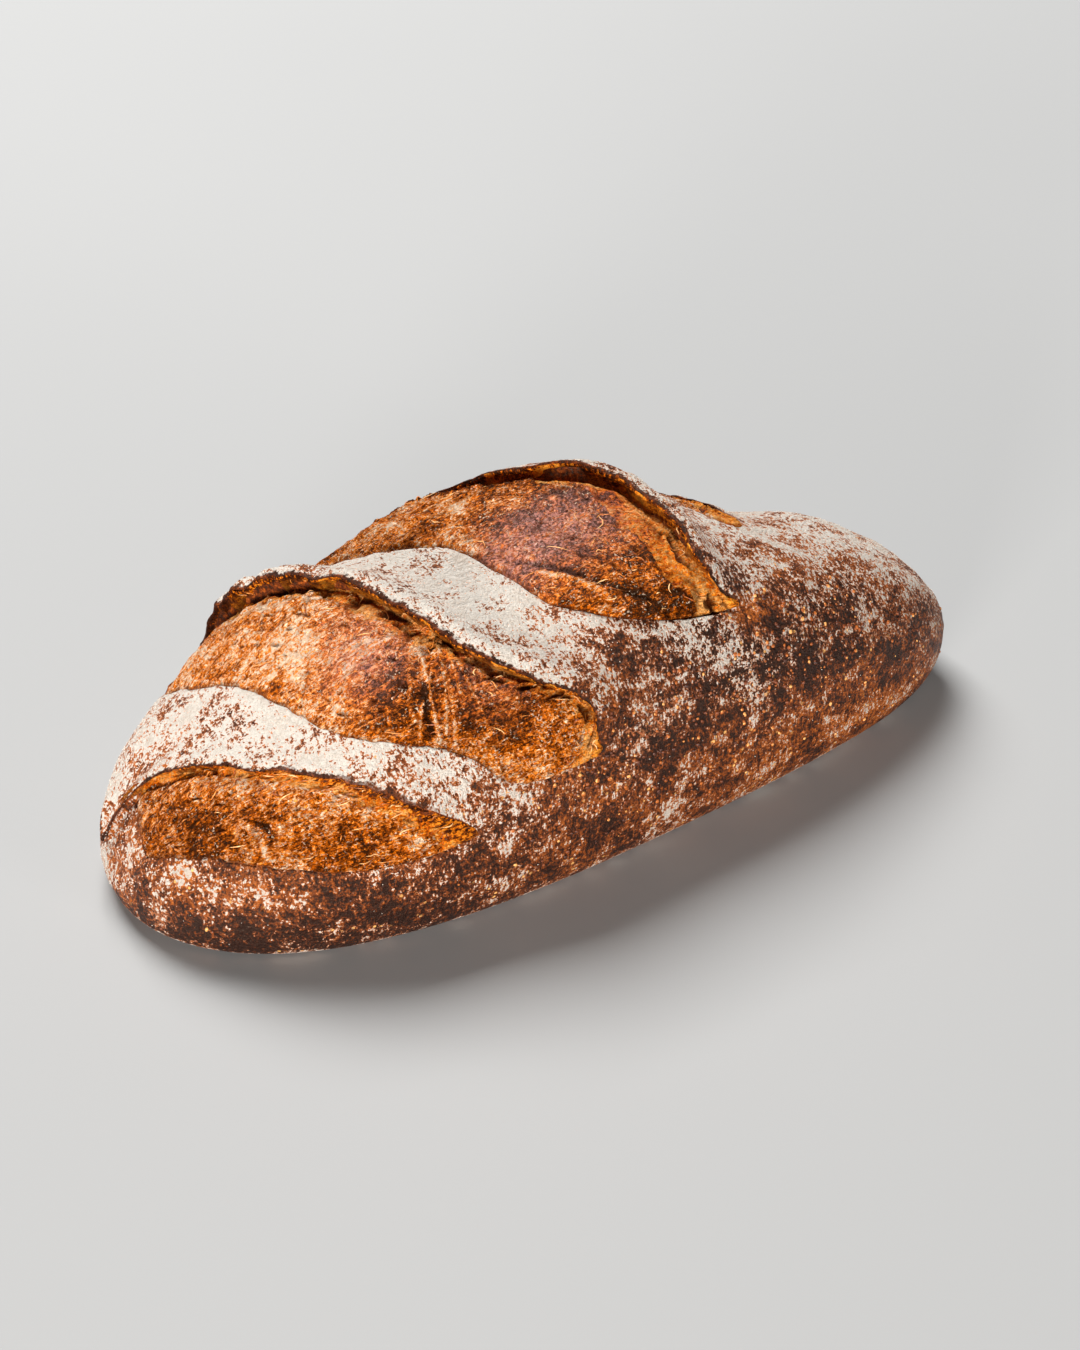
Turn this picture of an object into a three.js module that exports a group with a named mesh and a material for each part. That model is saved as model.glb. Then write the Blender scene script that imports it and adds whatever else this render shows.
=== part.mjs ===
// A long sourdough loaf, baked free on a stone: one solid of crust and crumb with a flat underside.
// Four slanting slashes cross its back. In each, the dough has swelled through the cut as bare crumb,
// and the cut's far lip has lifted into a thin ear that leans over the crumb.
//
// Millimetres, +Z up, +X along the loaf, the loaf's slashed side facing -Y and +Z.
// A place on the skin has two numbers: x along the loaf, and the girth g across it, which is -1 at the
// widest line of the near side, 0 on the ridge, +1 at the widest line of the far side, and runs on to
// -GIRTH_END and +GIRTH_END where the skin meets the flat underside.

import * as THREE from 'three';

// Overall size of the plain loaf, before the slashes opened
const LENGTH = 350;
const WIDTH = 139;
const HEIGHT = 103;

// Form of the plain loaf: how blunt each end is in plan, how the back falls off towards the ends,
// how much wider the left end is, how high each end curls up off the stone, and its cross-section
const LEFT_BLUNTNESS = 2.12;
const RIGHT_BLUNTNESS = 2.7;
const BACK_FALL = 1.72;
const LEFT_END_WIDER = 0.35;
const LEFT_END_LIFT = 9;
const RIGHT_END_LIFT = 23.5;
const FLAT_UNTIL = 0.8;
const CURL_POWER = 1.3;
const SECTION_POWER = 2.5;
const WIDEST_AT = 0.33;
const EDGE_TUCK = 15;
const GIRTH_END = 1.3;
const MM_PER_GIRTH = 105;

// How each slash opened. earLine runs from the slash's far tip to its near tip as [x, g] knots.
// width is how far the bare crumb reaches along x, swell how high it rises, and ear how high the lip
// stands: each has its largest size in mm, where that is between the far tip and the near tip, how
// quickly it falls away from there and, where the slash stayed shut as a crease up to some share of its
// way, that share. lean is how far the lip overhangs the crumb.
const SLASHES = [
  {
    earLine: [[-168, 0.48], [-161, 0.07], [-147.5, -0.01], [-127, -0.26], [-99, -0.56], [-68, -0.92]],
    straighten: 0.04,
    width: { most: 49.5, at: 0.68, fall: 0.9, from: 0.31 },
    swell: { most: 4, at: 0.65, fall: 1.6 },
    ear: { most: 3.5, at: 0.36, fall: 1.3 },
    lean: 1.5,
  },
  {
    earLine: [[-108, 0.78], [-84, 0.31], [-60, -0.04], [-46, -0.31], [-14, -0.66], [-17, -0.83]],
    straighten: 0.12,
    width: { most: 53, at: 0.62, fall: 0.62 },
    swell: { most: 8, at: 0.5, fall: 1.5 },
    ear: { most: 12, at: 0.34, fall: 1.1 },
    lean: 3.2,
    cleft: true,
  },
  {
    earLine: [[-50, 0.9], [-14, 0.5], [12, 0.28], [34, 0.14], [43.5, -0.03], [46, -0.25], [54, -0.46]],
    straighten: 0.12,
    width: { most: 68, at: 0.6, fall: 0.95 },
    swell: { most: 12, at: 0.52, fall: 1.6 },
    ear: { most: 16, at: 0.52, fall: 2.3 },
    lean: 3,
    crease: true,
  },
  {
    earLine: [[28, 1], [64, 0.5], [78, 0.2], [82, -0.02]],
    straighten: 0.12,
    width: { most: 17, at: 0.55, fall: 0.8 },
    swell: { most: 1.5, at: 0.45, fall: 1 },
    ear: { most: 3.4, at: 0.5, fall: 1 },
    lean: 2,
  },
];

// Section across a slash, followed from the crumb to the crust: out is the distance from the ear line
// in mm, and level is how far up from the groove's floor to the ear's top the skin has come there.
// Points with no level lie on the plain crumb or on the ear's back.
const SECTION = [
  { out: -9 }, { out: -4 }, { out: -0.5 },
  { out: 1.6, level: 0.05 }, { out: 0.6, level: 0.62 }, { out: -1.9, level: 0.86 },
  { out: -2.1, level: 0.98 }, { out: 0.5, level: 1.02 },
  { out: 4.5 }, { out: 9 }, { out: 16 },
];
const SECTION_LEAN = 2.2;
const OPEN_EAR = 4;

// Rows of points along the loaf and columns of points across it
const ROWS_LEFT_END = 7;
const ROWS_CRUMB = [6, 7, 9, 4];
const ROWS_CRUST = [4, 4, 3];
const ROWS_RIGHT_END = 12;
const COLUMNS = 44;
const NARROWEST_BAND = 9;

const HALF = LENGTH / 2;
const CRUST_COLOUR = 0xa4683a;

const clamp = (value, low, high) => Math.min(Math.max(value, low), high);
const mix = (from, to, share) => from + (to - from) * share;
const smoothStep = (value) => {
  const t = clamp(value, 0, 1);
  return t * t * (3 - 2 * t);
};

// Repeatable smooth noise between -1 and 1
function latticeValue(i, j, k, seed) {
  const wave = Math.sin(i * 127.1 + j * 311.7 + k * 191.9 + seed * 74.7) * 43758.5453;
  return (wave - Math.floor(wave)) * 2 - 1;
}

function smoothNoise(point, cell, seed) {
  const place = point.map((value) => value / cell);
  const corner = place.map(Math.floor);
  const share = place.map((value, axis) => smoothStep(value - corner[axis]));
  let sum = 0;
  for (let octant = 0; octant < 8; octant += 1) {
    const step = [octant & 1, (octant >> 1) & 1, octant >> 2];
    const weight = step.reduce((product, up, axis) => product * (up ? share[axis] : 1 - share[axis]), 1);
    sum += weight * latticeValue(corner[0] + step[0], corner[1] + step[1], corner[2] + step[2], seed);
  }
  return sum;
}

// The plain loaf's skin at x and g
function plainSkin(x, g) {
  const end = clamp(x / HALF, -1, 1);
  const bluntness = end < 0 ? LEFT_BLUNTNESS : RIGHT_BLUNTNESS;
  const lift = end < 0 ? LEFT_END_LIFT : RIGHT_END_LIFT;
  const plan = (1 - Math.abs(end) ** bluntness) ** (1 / bluntness);
  const back = (1 - Math.abs(end) ** BACK_FALL) ** (1 / BACK_FALL);
  const halfWidth = (WIDTH / 2) * plan * (1 - LEFT_END_WIDER * end);
  const top = lift + (HEIGHT - lift) * back;
  const underside = lift * Math.max((FLAT_UNTIL - plan) / FLAT_UNTIL, 0) ** CURL_POWER;
  const widestZ = mix(underside, top, WIDEST_AT);
  const side = Math.sign(g);
  if (Math.abs(g) <= 1) {
    const turn = (Math.abs(g) * Math.PI) / 2;
    const y = halfWidth * Math.sin(turn) ** (2 / SECTION_POWER);
    const z = widestZ + (top - widestZ) * Math.max(Math.cos(turn), 0) ** (2 / SECTION_POWER);
    return [x, side * y, z];
  }
  const turn = (((Math.abs(g) - 1) / (GIRTH_END - 1)) * Math.PI) / 2;
  const foot = Math.max(halfWidth - EDGE_TUCK * plan, 0);
  return [x, side * mix(foot, halfWidth, Math.cos(turn)), mix(widestZ, underside, Math.sin(turn))];
}

const difference = (a, b) => a.map((value, axis) => value - b[axis]);

function plainNormal(x, g) {
  const alongStep = 0.4;
  const acrossStep = 0.004;
  const keep = HALF - 0.01;
  const [ax, ay, az] = difference(
    plainSkin(Math.min(x + alongStep, keep), g),
    plainSkin(Math.max(x - alongStep, -keep), g),
  );
  const [bx, by, bz] = difference(
    plainSkin(x, Math.min(g + acrossStep, GIRTH_END)),
    plainSkin(x, Math.max(g - acrossStep, -GIRTH_END)),
  );
  const cross = [ay * bz - az * by, az * bx - ax * bz, ax * by - ay * bx];
  const size = Math.hypot(...cross) + 1e-12;
  return cross.map((value) => value / size);
}

// How many mm of skin there are to one mm of x
function skinStretch(x, g) {
  const ends = difference(
    plainSkin(Math.min(x + 0.5, HALF), g),
    plainSkin(Math.max(x - 0.5, -HALF), g),
  );
  return Math.hypot(...ends);
}

// The x of a slash's ear line at girth g: a smooth curve through its knots, going straight past the tips
function earLine(slash, g) {
  const knots = slash.earLine;
  const last = knots.length - 1;
  const chord = (a, b) => (knots[b][0] - knots[a][0]) / (knots[b][1] - knots[a][1]);
  const slope = (index) => {
    if (index === 0) return chord(0, 1);
    if (index === last) return chord(last - 1, last);
    const before = knots[index][1] - knots[index - 1][1];
    const after = knots[index + 1][1] - knots[index][1];
    return (chord(index - 1, index) * after + chord(index, index + 1) * before) / (before + after);
  };
  const beyond = (index) => {
    const [x, girth] = knots[index];
    return x + slope(index) * slash.straighten * Math.tanh((g - girth) / slash.straighten);
  };
  if (g > knots[0][1]) return beyond(0);
  if (g < knots[last][1]) return beyond(last);
  let piece = 0;
  while (g < knots[piece + 1][1] && piece < last - 1) piece += 1;
  const [x0, g0] = knots[piece];
  const [x1, g1] = knots[piece + 1];
  const span = g1 - g0;
  const t = (g - g0) / span;
  return (
    (2 * t ** 3 - 3 * t ** 2 + 1) * x0 + (t ** 3 - 2 * t ** 2 + t) * span * slope(piece)
    + (3 * t ** 2 - 2 * t ** 3) * x1 + (t ** 3 - t ** 2) * span * slope(piece + 1)
  );
}

// 0 at the slash's far tip and 1 at its near tip
function alongSlash(slash, g) {
  const far = slash.earLine[0][1];
  const near = slash.earLine[slash.earLine.length - 1][1];
  return (far - g) / (far - near);
}

// A size of the slash at girth g, from nothing at the tips to its most in between
function sizeAlong(slash, part, g) {
  const { most, at, fall, from = 0 } = slash[part];
  const s = (alongSlash(slash, g) - from) / (1 - from);
  if (s <= 0 || s >= 1) return 0;
  return most * (s / at) ** (fall * at) * ((1 - s) / (1 - at)) ** (fall * (1 - at));
}

// Everything about a slash that depends on the girth alone
function slashAt(slash, g) {
  const x = earLine(slash, g);
  const lean = (earLine(slash, g + 0.01) - earLine(slash, g - 0.01)) / 0.02 / MM_PER_GIRTH;
  return {
    slash,
    g,
    x,
    s: alongSlash(slash, g),
    perX: skinStretch(x, g) / Math.hypot(1, lean),
    width: sizeAlong(slash, 'width', g),
    swell: sizeAlong(slash, 'swell', g),
    ear: sizeAlong(slash, 'ear', g),
  };
}

// Height of the bare crumb above the plain skin: it swells up from the crust's edge, and dips into a
// groove along the foot of the ear
const GROOVE_SHARE = 0.55;
const GROOVE_WIDTH = 5.5;

function crumbHeight(cut, x) {
  if (cut.s <= 0 || cut.s >= 1) return 0;
  const across = clamp((cut.x - x) / Math.max(cut.width, 1e-3), 0, 1);
  const fromEar = (cut.x - x) * cut.perX;
  const dome = Math.sin((Math.PI / 2) * (1 - across)) ** 1.1;
  const groove = 1 - GROOVE_SHARE * Math.exp(-((fromEar / GROOVE_WIDTH) ** 2));
  const middle = Math.sqrt(Math.sin(Math.PI * across));
  let height = cut.swell * dome * groove;
  if (cut.slash.cleft) height -= cleftDepth(cut.g, x) * middle;
  if (cut.slash.crease) height -= creaseDepth(cut.g, x) * middle;
  return height;
}

// The second slash opened as two lobes with a cleft between them
function cleftDepth(g, x) {
  const middle = -61 + 13 * (g + 0.04);
  return 4 * Math.exp(-(((x - middle) / 6) ** 2)) * smoothStep((0.12 - g) / 0.25);
}

// The third has a crease, past which the near part of its crumb lies lower
function creaseDepth(g, x) {
  const line = 2 - 46 * (g + 0.05);
  return 2 * smoothStep((x - line + 6) / 12) * smoothStep((0.12 - g) / 0.2);
}

const EAR_BACK = 9;
const earBack = (distance) => 1 / (1 + (Math.max(distance, 0) / EAR_BACK) ** 2.2);

// Uneven swelling of the whole loaf
const LUMPS = [{ height: 1.1, cell: 38, seed: 3 }, { height: 0.5, cell: 15, seed: 5 }];

function lumps(x, g) {
  const place = plainSkin(x, g);
  return LUMPS.reduce((sum, { height, cell, seed }) => sum + height * smoothNoise(place, cell, seed), 0);
}

// The back sinks a little behind the last slash, before the right end's knob
const SADDLE = { depth: 6, x: 90, g: 0.25, long: 26, wide: 0.42 };

function saddleDepth(x, g) {
  return SADDLE.depth * Math.exp(-(((x - SADDLE.x) / SADDLE.long) ** 2) - ((g - SADDLE.g) / SADDLE.wide) ** 2);
}

// Height of the skin over the plain loaf, from the lumps, the saddle and every slash but the one left out
function relief(cuts, x, without = null) {
  let height = lumps(x, cuts[0].g) - saddleDepth(x, cuts[0].g);
  for (const cut of cuts) {
    if (cut === without) continue;
    height += x < cut.x ? crumbHeight(cut, x) : cut.ear * earBack((x - cut.x) * cut.perX);
  }
  return height;
}

// One point of the section across a slash
function sectionPoint(cut, cuts, index, reachLeft, reachRight) {
  const first = SECTION[0].out;
  const end = SECTION[SECTION.length - 1].out;
  const { out, level } = SECTION[index];
  const opened = smoothStep(cut.ear / OPEN_EAR);
  const leaning = level !== undefined && out < 0 ? (out * cut.slash.lean) / SECTION_LEAN : out;
  const away = mix(mix(first, end, index / (SECTION.length - 1)), leaning, opened);
  const x = cut.x + (away < 0 ? (away / -first) * reachLeft : (away / end) * reachRight);
  const plain = x < cut.x ? crumbHeight(cut, x) : cut.ear * earBack((x - cut.x) * cut.perX);
  const floor = crumbHeight(cut, cut.x);
  const folded = level === undefined ? plain : mix(floor, cut.ear, level);
  return { x, height: relief(cuts, x, cut) + mix(plain, folded, opened) };
}

// All points of one column, at girth g, from the left end to the right end
function columnPoints(g) {
  const cuts = SLASHES.map((slash) => slashAt(slash, g));
  const points = [];
  const addPlain = (x) => points.push({ x, height: relief(cuts, x) });
  const crustEdges = cuts.map((cut, k) => {
    const before = k === 0 ? -HALF : cuts[k - 1].x;
    const share = k === 0 ? 0.25 : 0.35;
    const band = Math.hypot(cut.width, NARROWEST_BAND / cut.perX);
    return Math.max(cut.x - band, mix(before, cut.x, share));
  });
  const backEnds = cuts.map((cut, k) => {
    const after = k === cuts.length - 1 ? HALF : crustEdges[k + 1];
    return Math.min(cut.x + SECTION[SECTION.length - 1].out / cut.perX, mix(cut.x, after, 0.6));
  });

  for (let i = 1; i <= ROWS_LEFT_END; i += 1) {
    addPlain(mix(-HALF, crustEdges[0], 1 - Math.cos(((i / ROWS_LEFT_END) * Math.PI) / 2)));
  }
  cuts.forEach((cut, k) => {
    const bandStart = Math.max(cut.x + SECTION[0].out / cut.perX, mix(crustEdges[k], cut.x, 0.55));
    for (let i = 1; i <= ROWS_CRUMB[k]; i += 1) {
      addPlain(mix(crustEdges[k], bandStart, i / (ROWS_CRUMB[k] + 1)));
    }
    for (let i = 0; i < SECTION.length; i += 1) {
      points.push(sectionPoint(cut, cuts, i, cut.x - bandStart, backEnds[k] - cut.x));
    }
    if (k === cuts.length - 1) return;
    for (let i = 1; i <= ROWS_CRUST[k] + 1; i += 1) {
      addPlain(mix(backEnds[k], crustEdges[k + 1], i / (ROWS_CRUST[k] + 1)));
    }
  });
  for (let i = 1; i < ROWS_RIGHT_END; i += 1) {
    addPlain(mix(backEnds[cuts.length - 1], HALF, Math.sin(((i / ROWS_RIGHT_END) * Math.PI) / 2)));
  }
  return points;
}

// The relief dies away down the sides, so the underside stays flat
const RELIEF_UNTIL = 0.8;

function reliefShare(g) {
  return (1 - clamp((Math.abs(g) - RELIEF_UNTIL) / (GIRTH_END - RELIEF_UNTIL), 0, 1)) ** 1.5;
}

function skinPoint(g, { x, height }) {
  const kept = clamp(x, -HALF + 0.02, HALF - 0.02);
  const normal = plainNormal(kept, g);
  return plainSkin(kept, g).map((value, axis) => value + normal[axis] * height * reliefShare(g));
}

// The loaf as one closed body: a grid of skin points, one strip of underside and a point at each end
function loafGeometry() {
  const columns = [];
  for (let j = 0; j < COLUMNS; j += 1) {
    const g = mix(-GIRTH_END, GIRTH_END, j / (COLUMNS - 1));
    columns.push(columnPoints(g).map((point) => skinPoint(g, point)));
  }
  const rows = columns[0].length;
  const corners = [];
  for (let i = 0; i < rows; i += 1) {
    for (let j = 0; j < COLUMNS; j += 1) corners.push(columns[j][i]);
  }
  corners.push([-HALF, 0, LEFT_END_LIFT], [HALF, 0, RIGHT_END_LIFT]);
  const leftTip = corners.length - 2;
  const rightTip = corners.length - 1;
  const at = (i, j) => i * COLUMNS + (j % COLUMNS);
  const gap = (a, b) => Math.hypot(...difference(corners[a], corners[b]));
  const faces = [];
  for (let j = 0; j < COLUMNS; j += 1) {
    faces.push(leftTip, at(0, j), at(0, j + 1));
    faces.push(rightTip, at(rows - 1, j + 1), at(rows - 1, j));
    for (let i = 0; i < rows - 1; i += 1) {
      const [a, b, c, d] = [at(i, j), at(i, j + 1), at(i + 1, j + 1), at(i + 1, j)];
      if (gap(a, c) < gap(b, d)) faces.push(a, c, b, a, d, c);
      else faces.push(a, d, b, b, d, c);
    }
  }
  const geometry = new THREE.BufferGeometry();
  geometry.setAttribute('position', new THREE.Float32BufferAttribute(corners.flat(), 3));
  geometry.setIndex(faces);
  return geometry;
}

// Stands the loaf on z = 0 with its box centred over the origin
function centredOnFloor(geometry) {
  geometry.computeBoundingBox();
  const { min, max } = geometry.boundingBox;
  geometry.translate(-(min.x + max.x) / 2, -(min.y + max.y) / 2, -min.z);
  geometry.computeVertexNormals();
  return geometry;
}

const crust = new THREE.MeshStandardMaterial({ color: CRUST_COLOUR, roughness: 0.75, metalness: 0 });
const loaf = new THREE.Mesh(centredOnFloor(loafGeometry()), crust);
loaf.name = 'loaf';

const group = new THREE.Group();
group.name = 'sourdough_loaf';
group.add(loaf);

export default group;
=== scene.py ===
# %% [markdown]
# A long sourdough loaf, baked free on a stone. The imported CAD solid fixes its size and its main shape.
# Here the same shape is made again with a much finer skin, and given its flour, its dark red-brown crust,
# the golden crumb that swelled up in its four slashes, and the small torn things that stand on it.

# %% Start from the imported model
import math

import bpy
import numpy as np
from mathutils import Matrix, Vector


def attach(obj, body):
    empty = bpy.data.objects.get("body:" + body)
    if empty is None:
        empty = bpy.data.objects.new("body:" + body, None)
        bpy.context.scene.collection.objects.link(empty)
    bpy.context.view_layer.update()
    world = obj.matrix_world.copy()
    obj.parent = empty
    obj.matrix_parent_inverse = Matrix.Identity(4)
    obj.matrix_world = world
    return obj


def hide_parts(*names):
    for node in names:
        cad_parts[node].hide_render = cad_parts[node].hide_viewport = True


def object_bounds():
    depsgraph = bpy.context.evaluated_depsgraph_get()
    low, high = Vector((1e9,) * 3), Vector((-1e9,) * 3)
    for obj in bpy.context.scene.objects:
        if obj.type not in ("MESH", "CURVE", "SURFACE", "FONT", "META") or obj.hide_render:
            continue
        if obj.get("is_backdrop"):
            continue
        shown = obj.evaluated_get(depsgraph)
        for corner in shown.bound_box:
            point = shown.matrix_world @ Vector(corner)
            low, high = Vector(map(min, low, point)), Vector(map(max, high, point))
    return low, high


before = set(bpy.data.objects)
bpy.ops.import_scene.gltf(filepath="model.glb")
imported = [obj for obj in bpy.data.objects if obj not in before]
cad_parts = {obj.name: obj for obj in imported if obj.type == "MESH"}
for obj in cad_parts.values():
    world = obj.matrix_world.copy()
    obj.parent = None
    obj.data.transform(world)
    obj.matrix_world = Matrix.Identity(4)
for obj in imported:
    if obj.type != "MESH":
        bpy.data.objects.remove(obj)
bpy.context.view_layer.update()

# %% [markdown]
# The camera looks down at the loaf from 35 degrees, with its wide end nearer. A long lens keeps the far
# end almost as large as the near one. The camera comes first, so that every trial render is framed.

# %% Set up the camera
CAMERA_AZIMUTH = -27.5
CAMERA_ELEVATION = 35
CAMERA_DISTANCE = 0.95
AIM = (0.0002, 0.0002, 0.045)
LENS_MM = 67.5
SIDE_SHIFT = -0.0052

aim = Vector(AIM)


def direction(azimuth, elevation):
    """Unit vector from the loaf towards an azimuth and elevation in degrees; azimuth 0 is towards -Y."""
    turn = math.radians(azimuth)
    rise = math.radians(elevation)
    return Vector((math.sin(turn) * math.cos(rise), -math.cos(turn) * math.cos(rise), math.sin(rise)))


camera = bpy.data.objects.new("camera", bpy.data.cameras.new("camera"))
camera.location = aim + direction(CAMERA_AZIMUTH, CAMERA_ELEVATION) * CAMERA_DISTANCE
camera.rotation_euler = (camera.location - aim).to_track_quat("Z", "Y").to_euler()
camera.data.lens = LENS_MM
camera.data.shift_x = SIDE_SHIFT
bpy.context.scene.collection.objects.link(camera)
bpy.context.scene.camera = camera
print("camera", [round(v, 3) for v in camera.location])

# %% [markdown]
# The plain loaf is one rule: its plan is a blunt oval that is wider at the left, its back falls towards
# both ends, and each cross-section is a soft rounded box on a flat base. A place on the skin has two
# numbers, x along the loaf and the girth g across it: -1 and 1 are the widest lines, 0 is the ridge,
# and past 1.3 on either side comes the flat underside. Lengths in this part are in mm, as in the CAD.

# %% The plain loaf
LENGTH = 350
WIDTH = 139
HEIGHT = 103
HALF = LENGTH / 2
# powers of the outlines: 2 is an ellipse, more is squarer, less is more pointed
LEFT_BLUNTNESS = 2.12
RIGHT_BLUNTNESS = 2.7
BACK_FALL = 1.72
SECTION_POWER = 2.5
LEFT_END_WIDER = 0.35
# the tips stand a little off the stone, and the underside curls up to them
LEFT_END_LIFT = 9
RIGHT_END_LIFT = 23.5
FLAT_UNTIL = 0.8
CURL_POWER = 1.3
# share of the height at which the loaf is widest, and how far the flat underside is tucked in
WIDEST_AT = 0.33
EDGE_TUCK = 15
GIRTH_END = 1.3
MM_PER_GIRTH = 105


def mix(start, end, share):
    return start + (end - start) * share


def smooth_step(value, low=0.0, high=1.0):
    t = np.clip((value - low) / (high - low), 0, 1)
    return t * t * (3 - 2 * t)


def plain_skin(x, g):
    """Points of the plain loaf's skin at x along it and girth g across it."""
    end = np.clip(x / HALF, -1, 1)
    bluntness = np.where(end < 0, LEFT_BLUNTNESS, RIGHT_BLUNTNESS)
    lift = np.where(end < 0, LEFT_END_LIFT, RIGHT_END_LIFT)
    plan = (1 - np.abs(end) ** bluntness) ** (1 / bluntness)
    back = (1 - np.abs(end) ** BACK_FALL) ** (1 / BACK_FALL)
    half_width = WIDTH / 2 * plan * (1 - LEFT_END_WIDER * end)
    top = lift + (HEIGHT - lift) * back
    underside = lift * np.maximum((FLAT_UNTIL - plan) / FLAT_UNTIL, 0) ** CURL_POWER
    widest_z = mix(underside, top, WIDEST_AT)
    size = np.abs(g)
    side = np.sign(g)
    turn = np.clip(size, 0, 1) * np.pi / 2
    power = 2 / SECTION_POWER
    top_y = half_width * np.sin(turn) ** power
    top_z = widest_z + (top - widest_z) * np.maximum(np.cos(turn), 0) ** power
    low_turn = np.clip((size - 1) / (GIRTH_END - 1), 0, 1) * np.pi / 2
    foot = np.maximum(half_width - EDGE_TUCK * plan, 0)
    low_y = mix(foot, half_width, np.cos(low_turn))
    low_z = mix(widest_z, underside, np.sin(low_turn))
    y = side * np.where(size > 1, low_y, top_y)
    z = np.where(size > 1, low_z, top_z)
    return np.stack([x + 0 * z, y, z], -1)


def plain_normal(x, g):
    """Outward directions of the plain loaf's skin."""
    keep = HALF - 0.01
    step_x = plain_skin(np.minimum(x + 0.4, keep), g) - plain_skin(np.maximum(x - 0.4, -keep), g)
    after = plain_skin(x, np.minimum(g + 0.004, GIRTH_END))
    before = plain_skin(x, np.maximum(g - 0.004, -GIRTH_END))
    cross = np.cross(step_x, after - before)
    return cross / (np.linalg.norm(cross, axis=-1, keepdims=True) + 1e-12)


def skin_stretch(x, g):
    """How many mm of skin there are to one mm of x."""
    ends = plain_skin(np.minimum(x + 0.5, HALF), g) - plain_skin(np.maximum(x - 0.5, -HALF), g)
    return np.linalg.norm(ends, axis=-1)


print("ridge at the middle, mm:", plain_skin(np.array(0.0), np.array(0.0)).round(1))

# %% [markdown]
# Dough is never even, so the loaf needs noise that gives the same lumps in every run. This one mixes
# repeatable random values at the corners of a grid, and it is the one that the CAD solid uses too.

# %% Repeatable noise
def lattice_value(i, j, k, seed):
    wave = np.sin(i * 127.1 + j * 311.7 + k * 191.9 + seed * 74.7) * 43758.5453
    return (wave - np.floor(wave)) * 2 - 1


def smooth_noise(points, cell, seed):
    """Smooth noise between -1 and 1 at points, with lumps about one cell wide."""
    place = points / np.asarray(cell, float)
    corner = np.floor(place)
    share = smooth_step(place - corner)
    total = np.zeros(points.shape[:-1])
    for octant in range(8):
        step = np.array([octant & 1, octant >> 1 & 1, octant >> 2])
        weight = np.prod(np.where(step, share, 1 - share), -1)
        corners = corner + step
        total += weight * lattice_value(corners[..., 0], corners[..., 1], corners[..., 2], seed)
    return total


def layered_noise(points, cell, seed, layers=3, keep=0.5):
    """Several sizes of smooth noise on top of each other."""
    total, size = 0, 1.0
    for layer in range(layers):
        total = total + size * smooth_noise(points, np.asarray(cell, float) / 2 ** layer, seed + layer)
        size *= keep
    return total


print("noise sample:", smooth_noise(np.array([[1.0, 2.5, 3.2]]), 2, 1).round(3))

# %% [markdown]
# Each slash is a slanting cut. The crumb swells through it from a flush edge on the left, and the right
# lip lifts into a thin ear that leans back over the crumb. An ear line with a few knots says where each
# lip runs, and three sizes say how wide the crumb is, how high it swells and how high the ear stands.
# The second slash split further in a cleft, the third has a crease across its crumb, and the crust sinks
# in a shallow saddle right of the fourth. The cuts could be sculpted, but a rule can be tuned knot by knot.

# %% The four slashes
# ear_line holds x and girth of each knot, and each size is its most in mm, where along the slash that is
# from 0 at the far tip to 1 at the near one, and how fast it falls off towards the tips
SLASHES = [
    dict(
        ear_line=[(-168, 0.48), (-161, 0.07), (-147.5, -0.01), (-127, -0.26), (-99, -0.56), (-68, -0.92)],
        straighten=0.04, width=(49.5, 0.68, 0.9), swell=(4, 0.65, 1.6), ear=(3.5, 0.36, 1.3), lean=1.5,
        bare_from=0.31,
    ),
    dict(
        ear_line=[(-108, 0.78), (-84, 0.31), (-60, -0.04), (-46, -0.31), (-14, -0.66), (-17, -0.83)],
        straighten=0.12, width=(53, 0.62, 0.62), swell=(8, 0.5, 1.5), ear=(12, 0.34, 1.1), lean=3.2,
    ),
    dict(
        ear_line=[(-50, 0.9), (-14, 0.5), (12, 0.28), (34, 0.14), (43.5, -0.03), (46, -0.25), (54, -0.46)],
        straighten=0.12, width=(68, 0.6, 0.95), swell=(12, 0.52, 1.6), ear=(16, 0.52, 2.3), lean=3,
    ),
    dict(
        ear_line=[(28, 1), (64, 0.5), (78, 0.2), (82, -0.02)],
        straighten=0.12, width=(17, 0.55, 0.8), swell=(1.5, 0.45, 1), ear=(3.4, 0.5, 1), lean=2,
    ),
]
CLEFT_SLASH = 1
CLEFT_DEPTH = 4
CLEFT_HALF_WIDTH = 6
CREASE_SLASH = 2
CREASE_DEPTH = 2
GROOVE_SHARE = 0.55
GROOVE_WIDTH = 5.5
SADDLE_DEPTH = 6
SADDLE_AT = (90, 0.25)
SADDLE_SIZE = (26, 0.42)
EAR_BACK = 9
NARROWEST_BAND = 9


def ear_line(slash, g):
    """The x of the ear line: a smooth curve through its knots, going straight past the tips."""
    x, girth = np.array(slash["ear_line"], float).T
    slope = np.gradient(x, girth)
    fade = slash["straighten"]
    g = np.asarray(g, float)
    line = np.zeros_like(g)
    for a in range(len(x) - 1):
        span = girth[a + 1] - girth[a]
        t = (g - girth[a]) / span
        piece = (
            (2 * t ** 3 - 3 * t ** 2 + 1) * x[a] + (t ** 3 - 2 * t ** 2 + t) * span * slope[a]
            + (3 * t ** 2 - 2 * t ** 3) * x[a + 1] + (t ** 3 - t ** 2) * span * slope[a + 1]
        )
        line = np.where((t >= 0) & (t <= 1), piece, line)
    line = np.where(g > girth[0], x[0] + slope[0] * fade * np.tanh((g - girth[0]) / fade), line)
    return np.where(g < girth[-1], x[-1] + slope[-1] * fade * np.tanh((g - girth[-1]) / fade), line)


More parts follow.
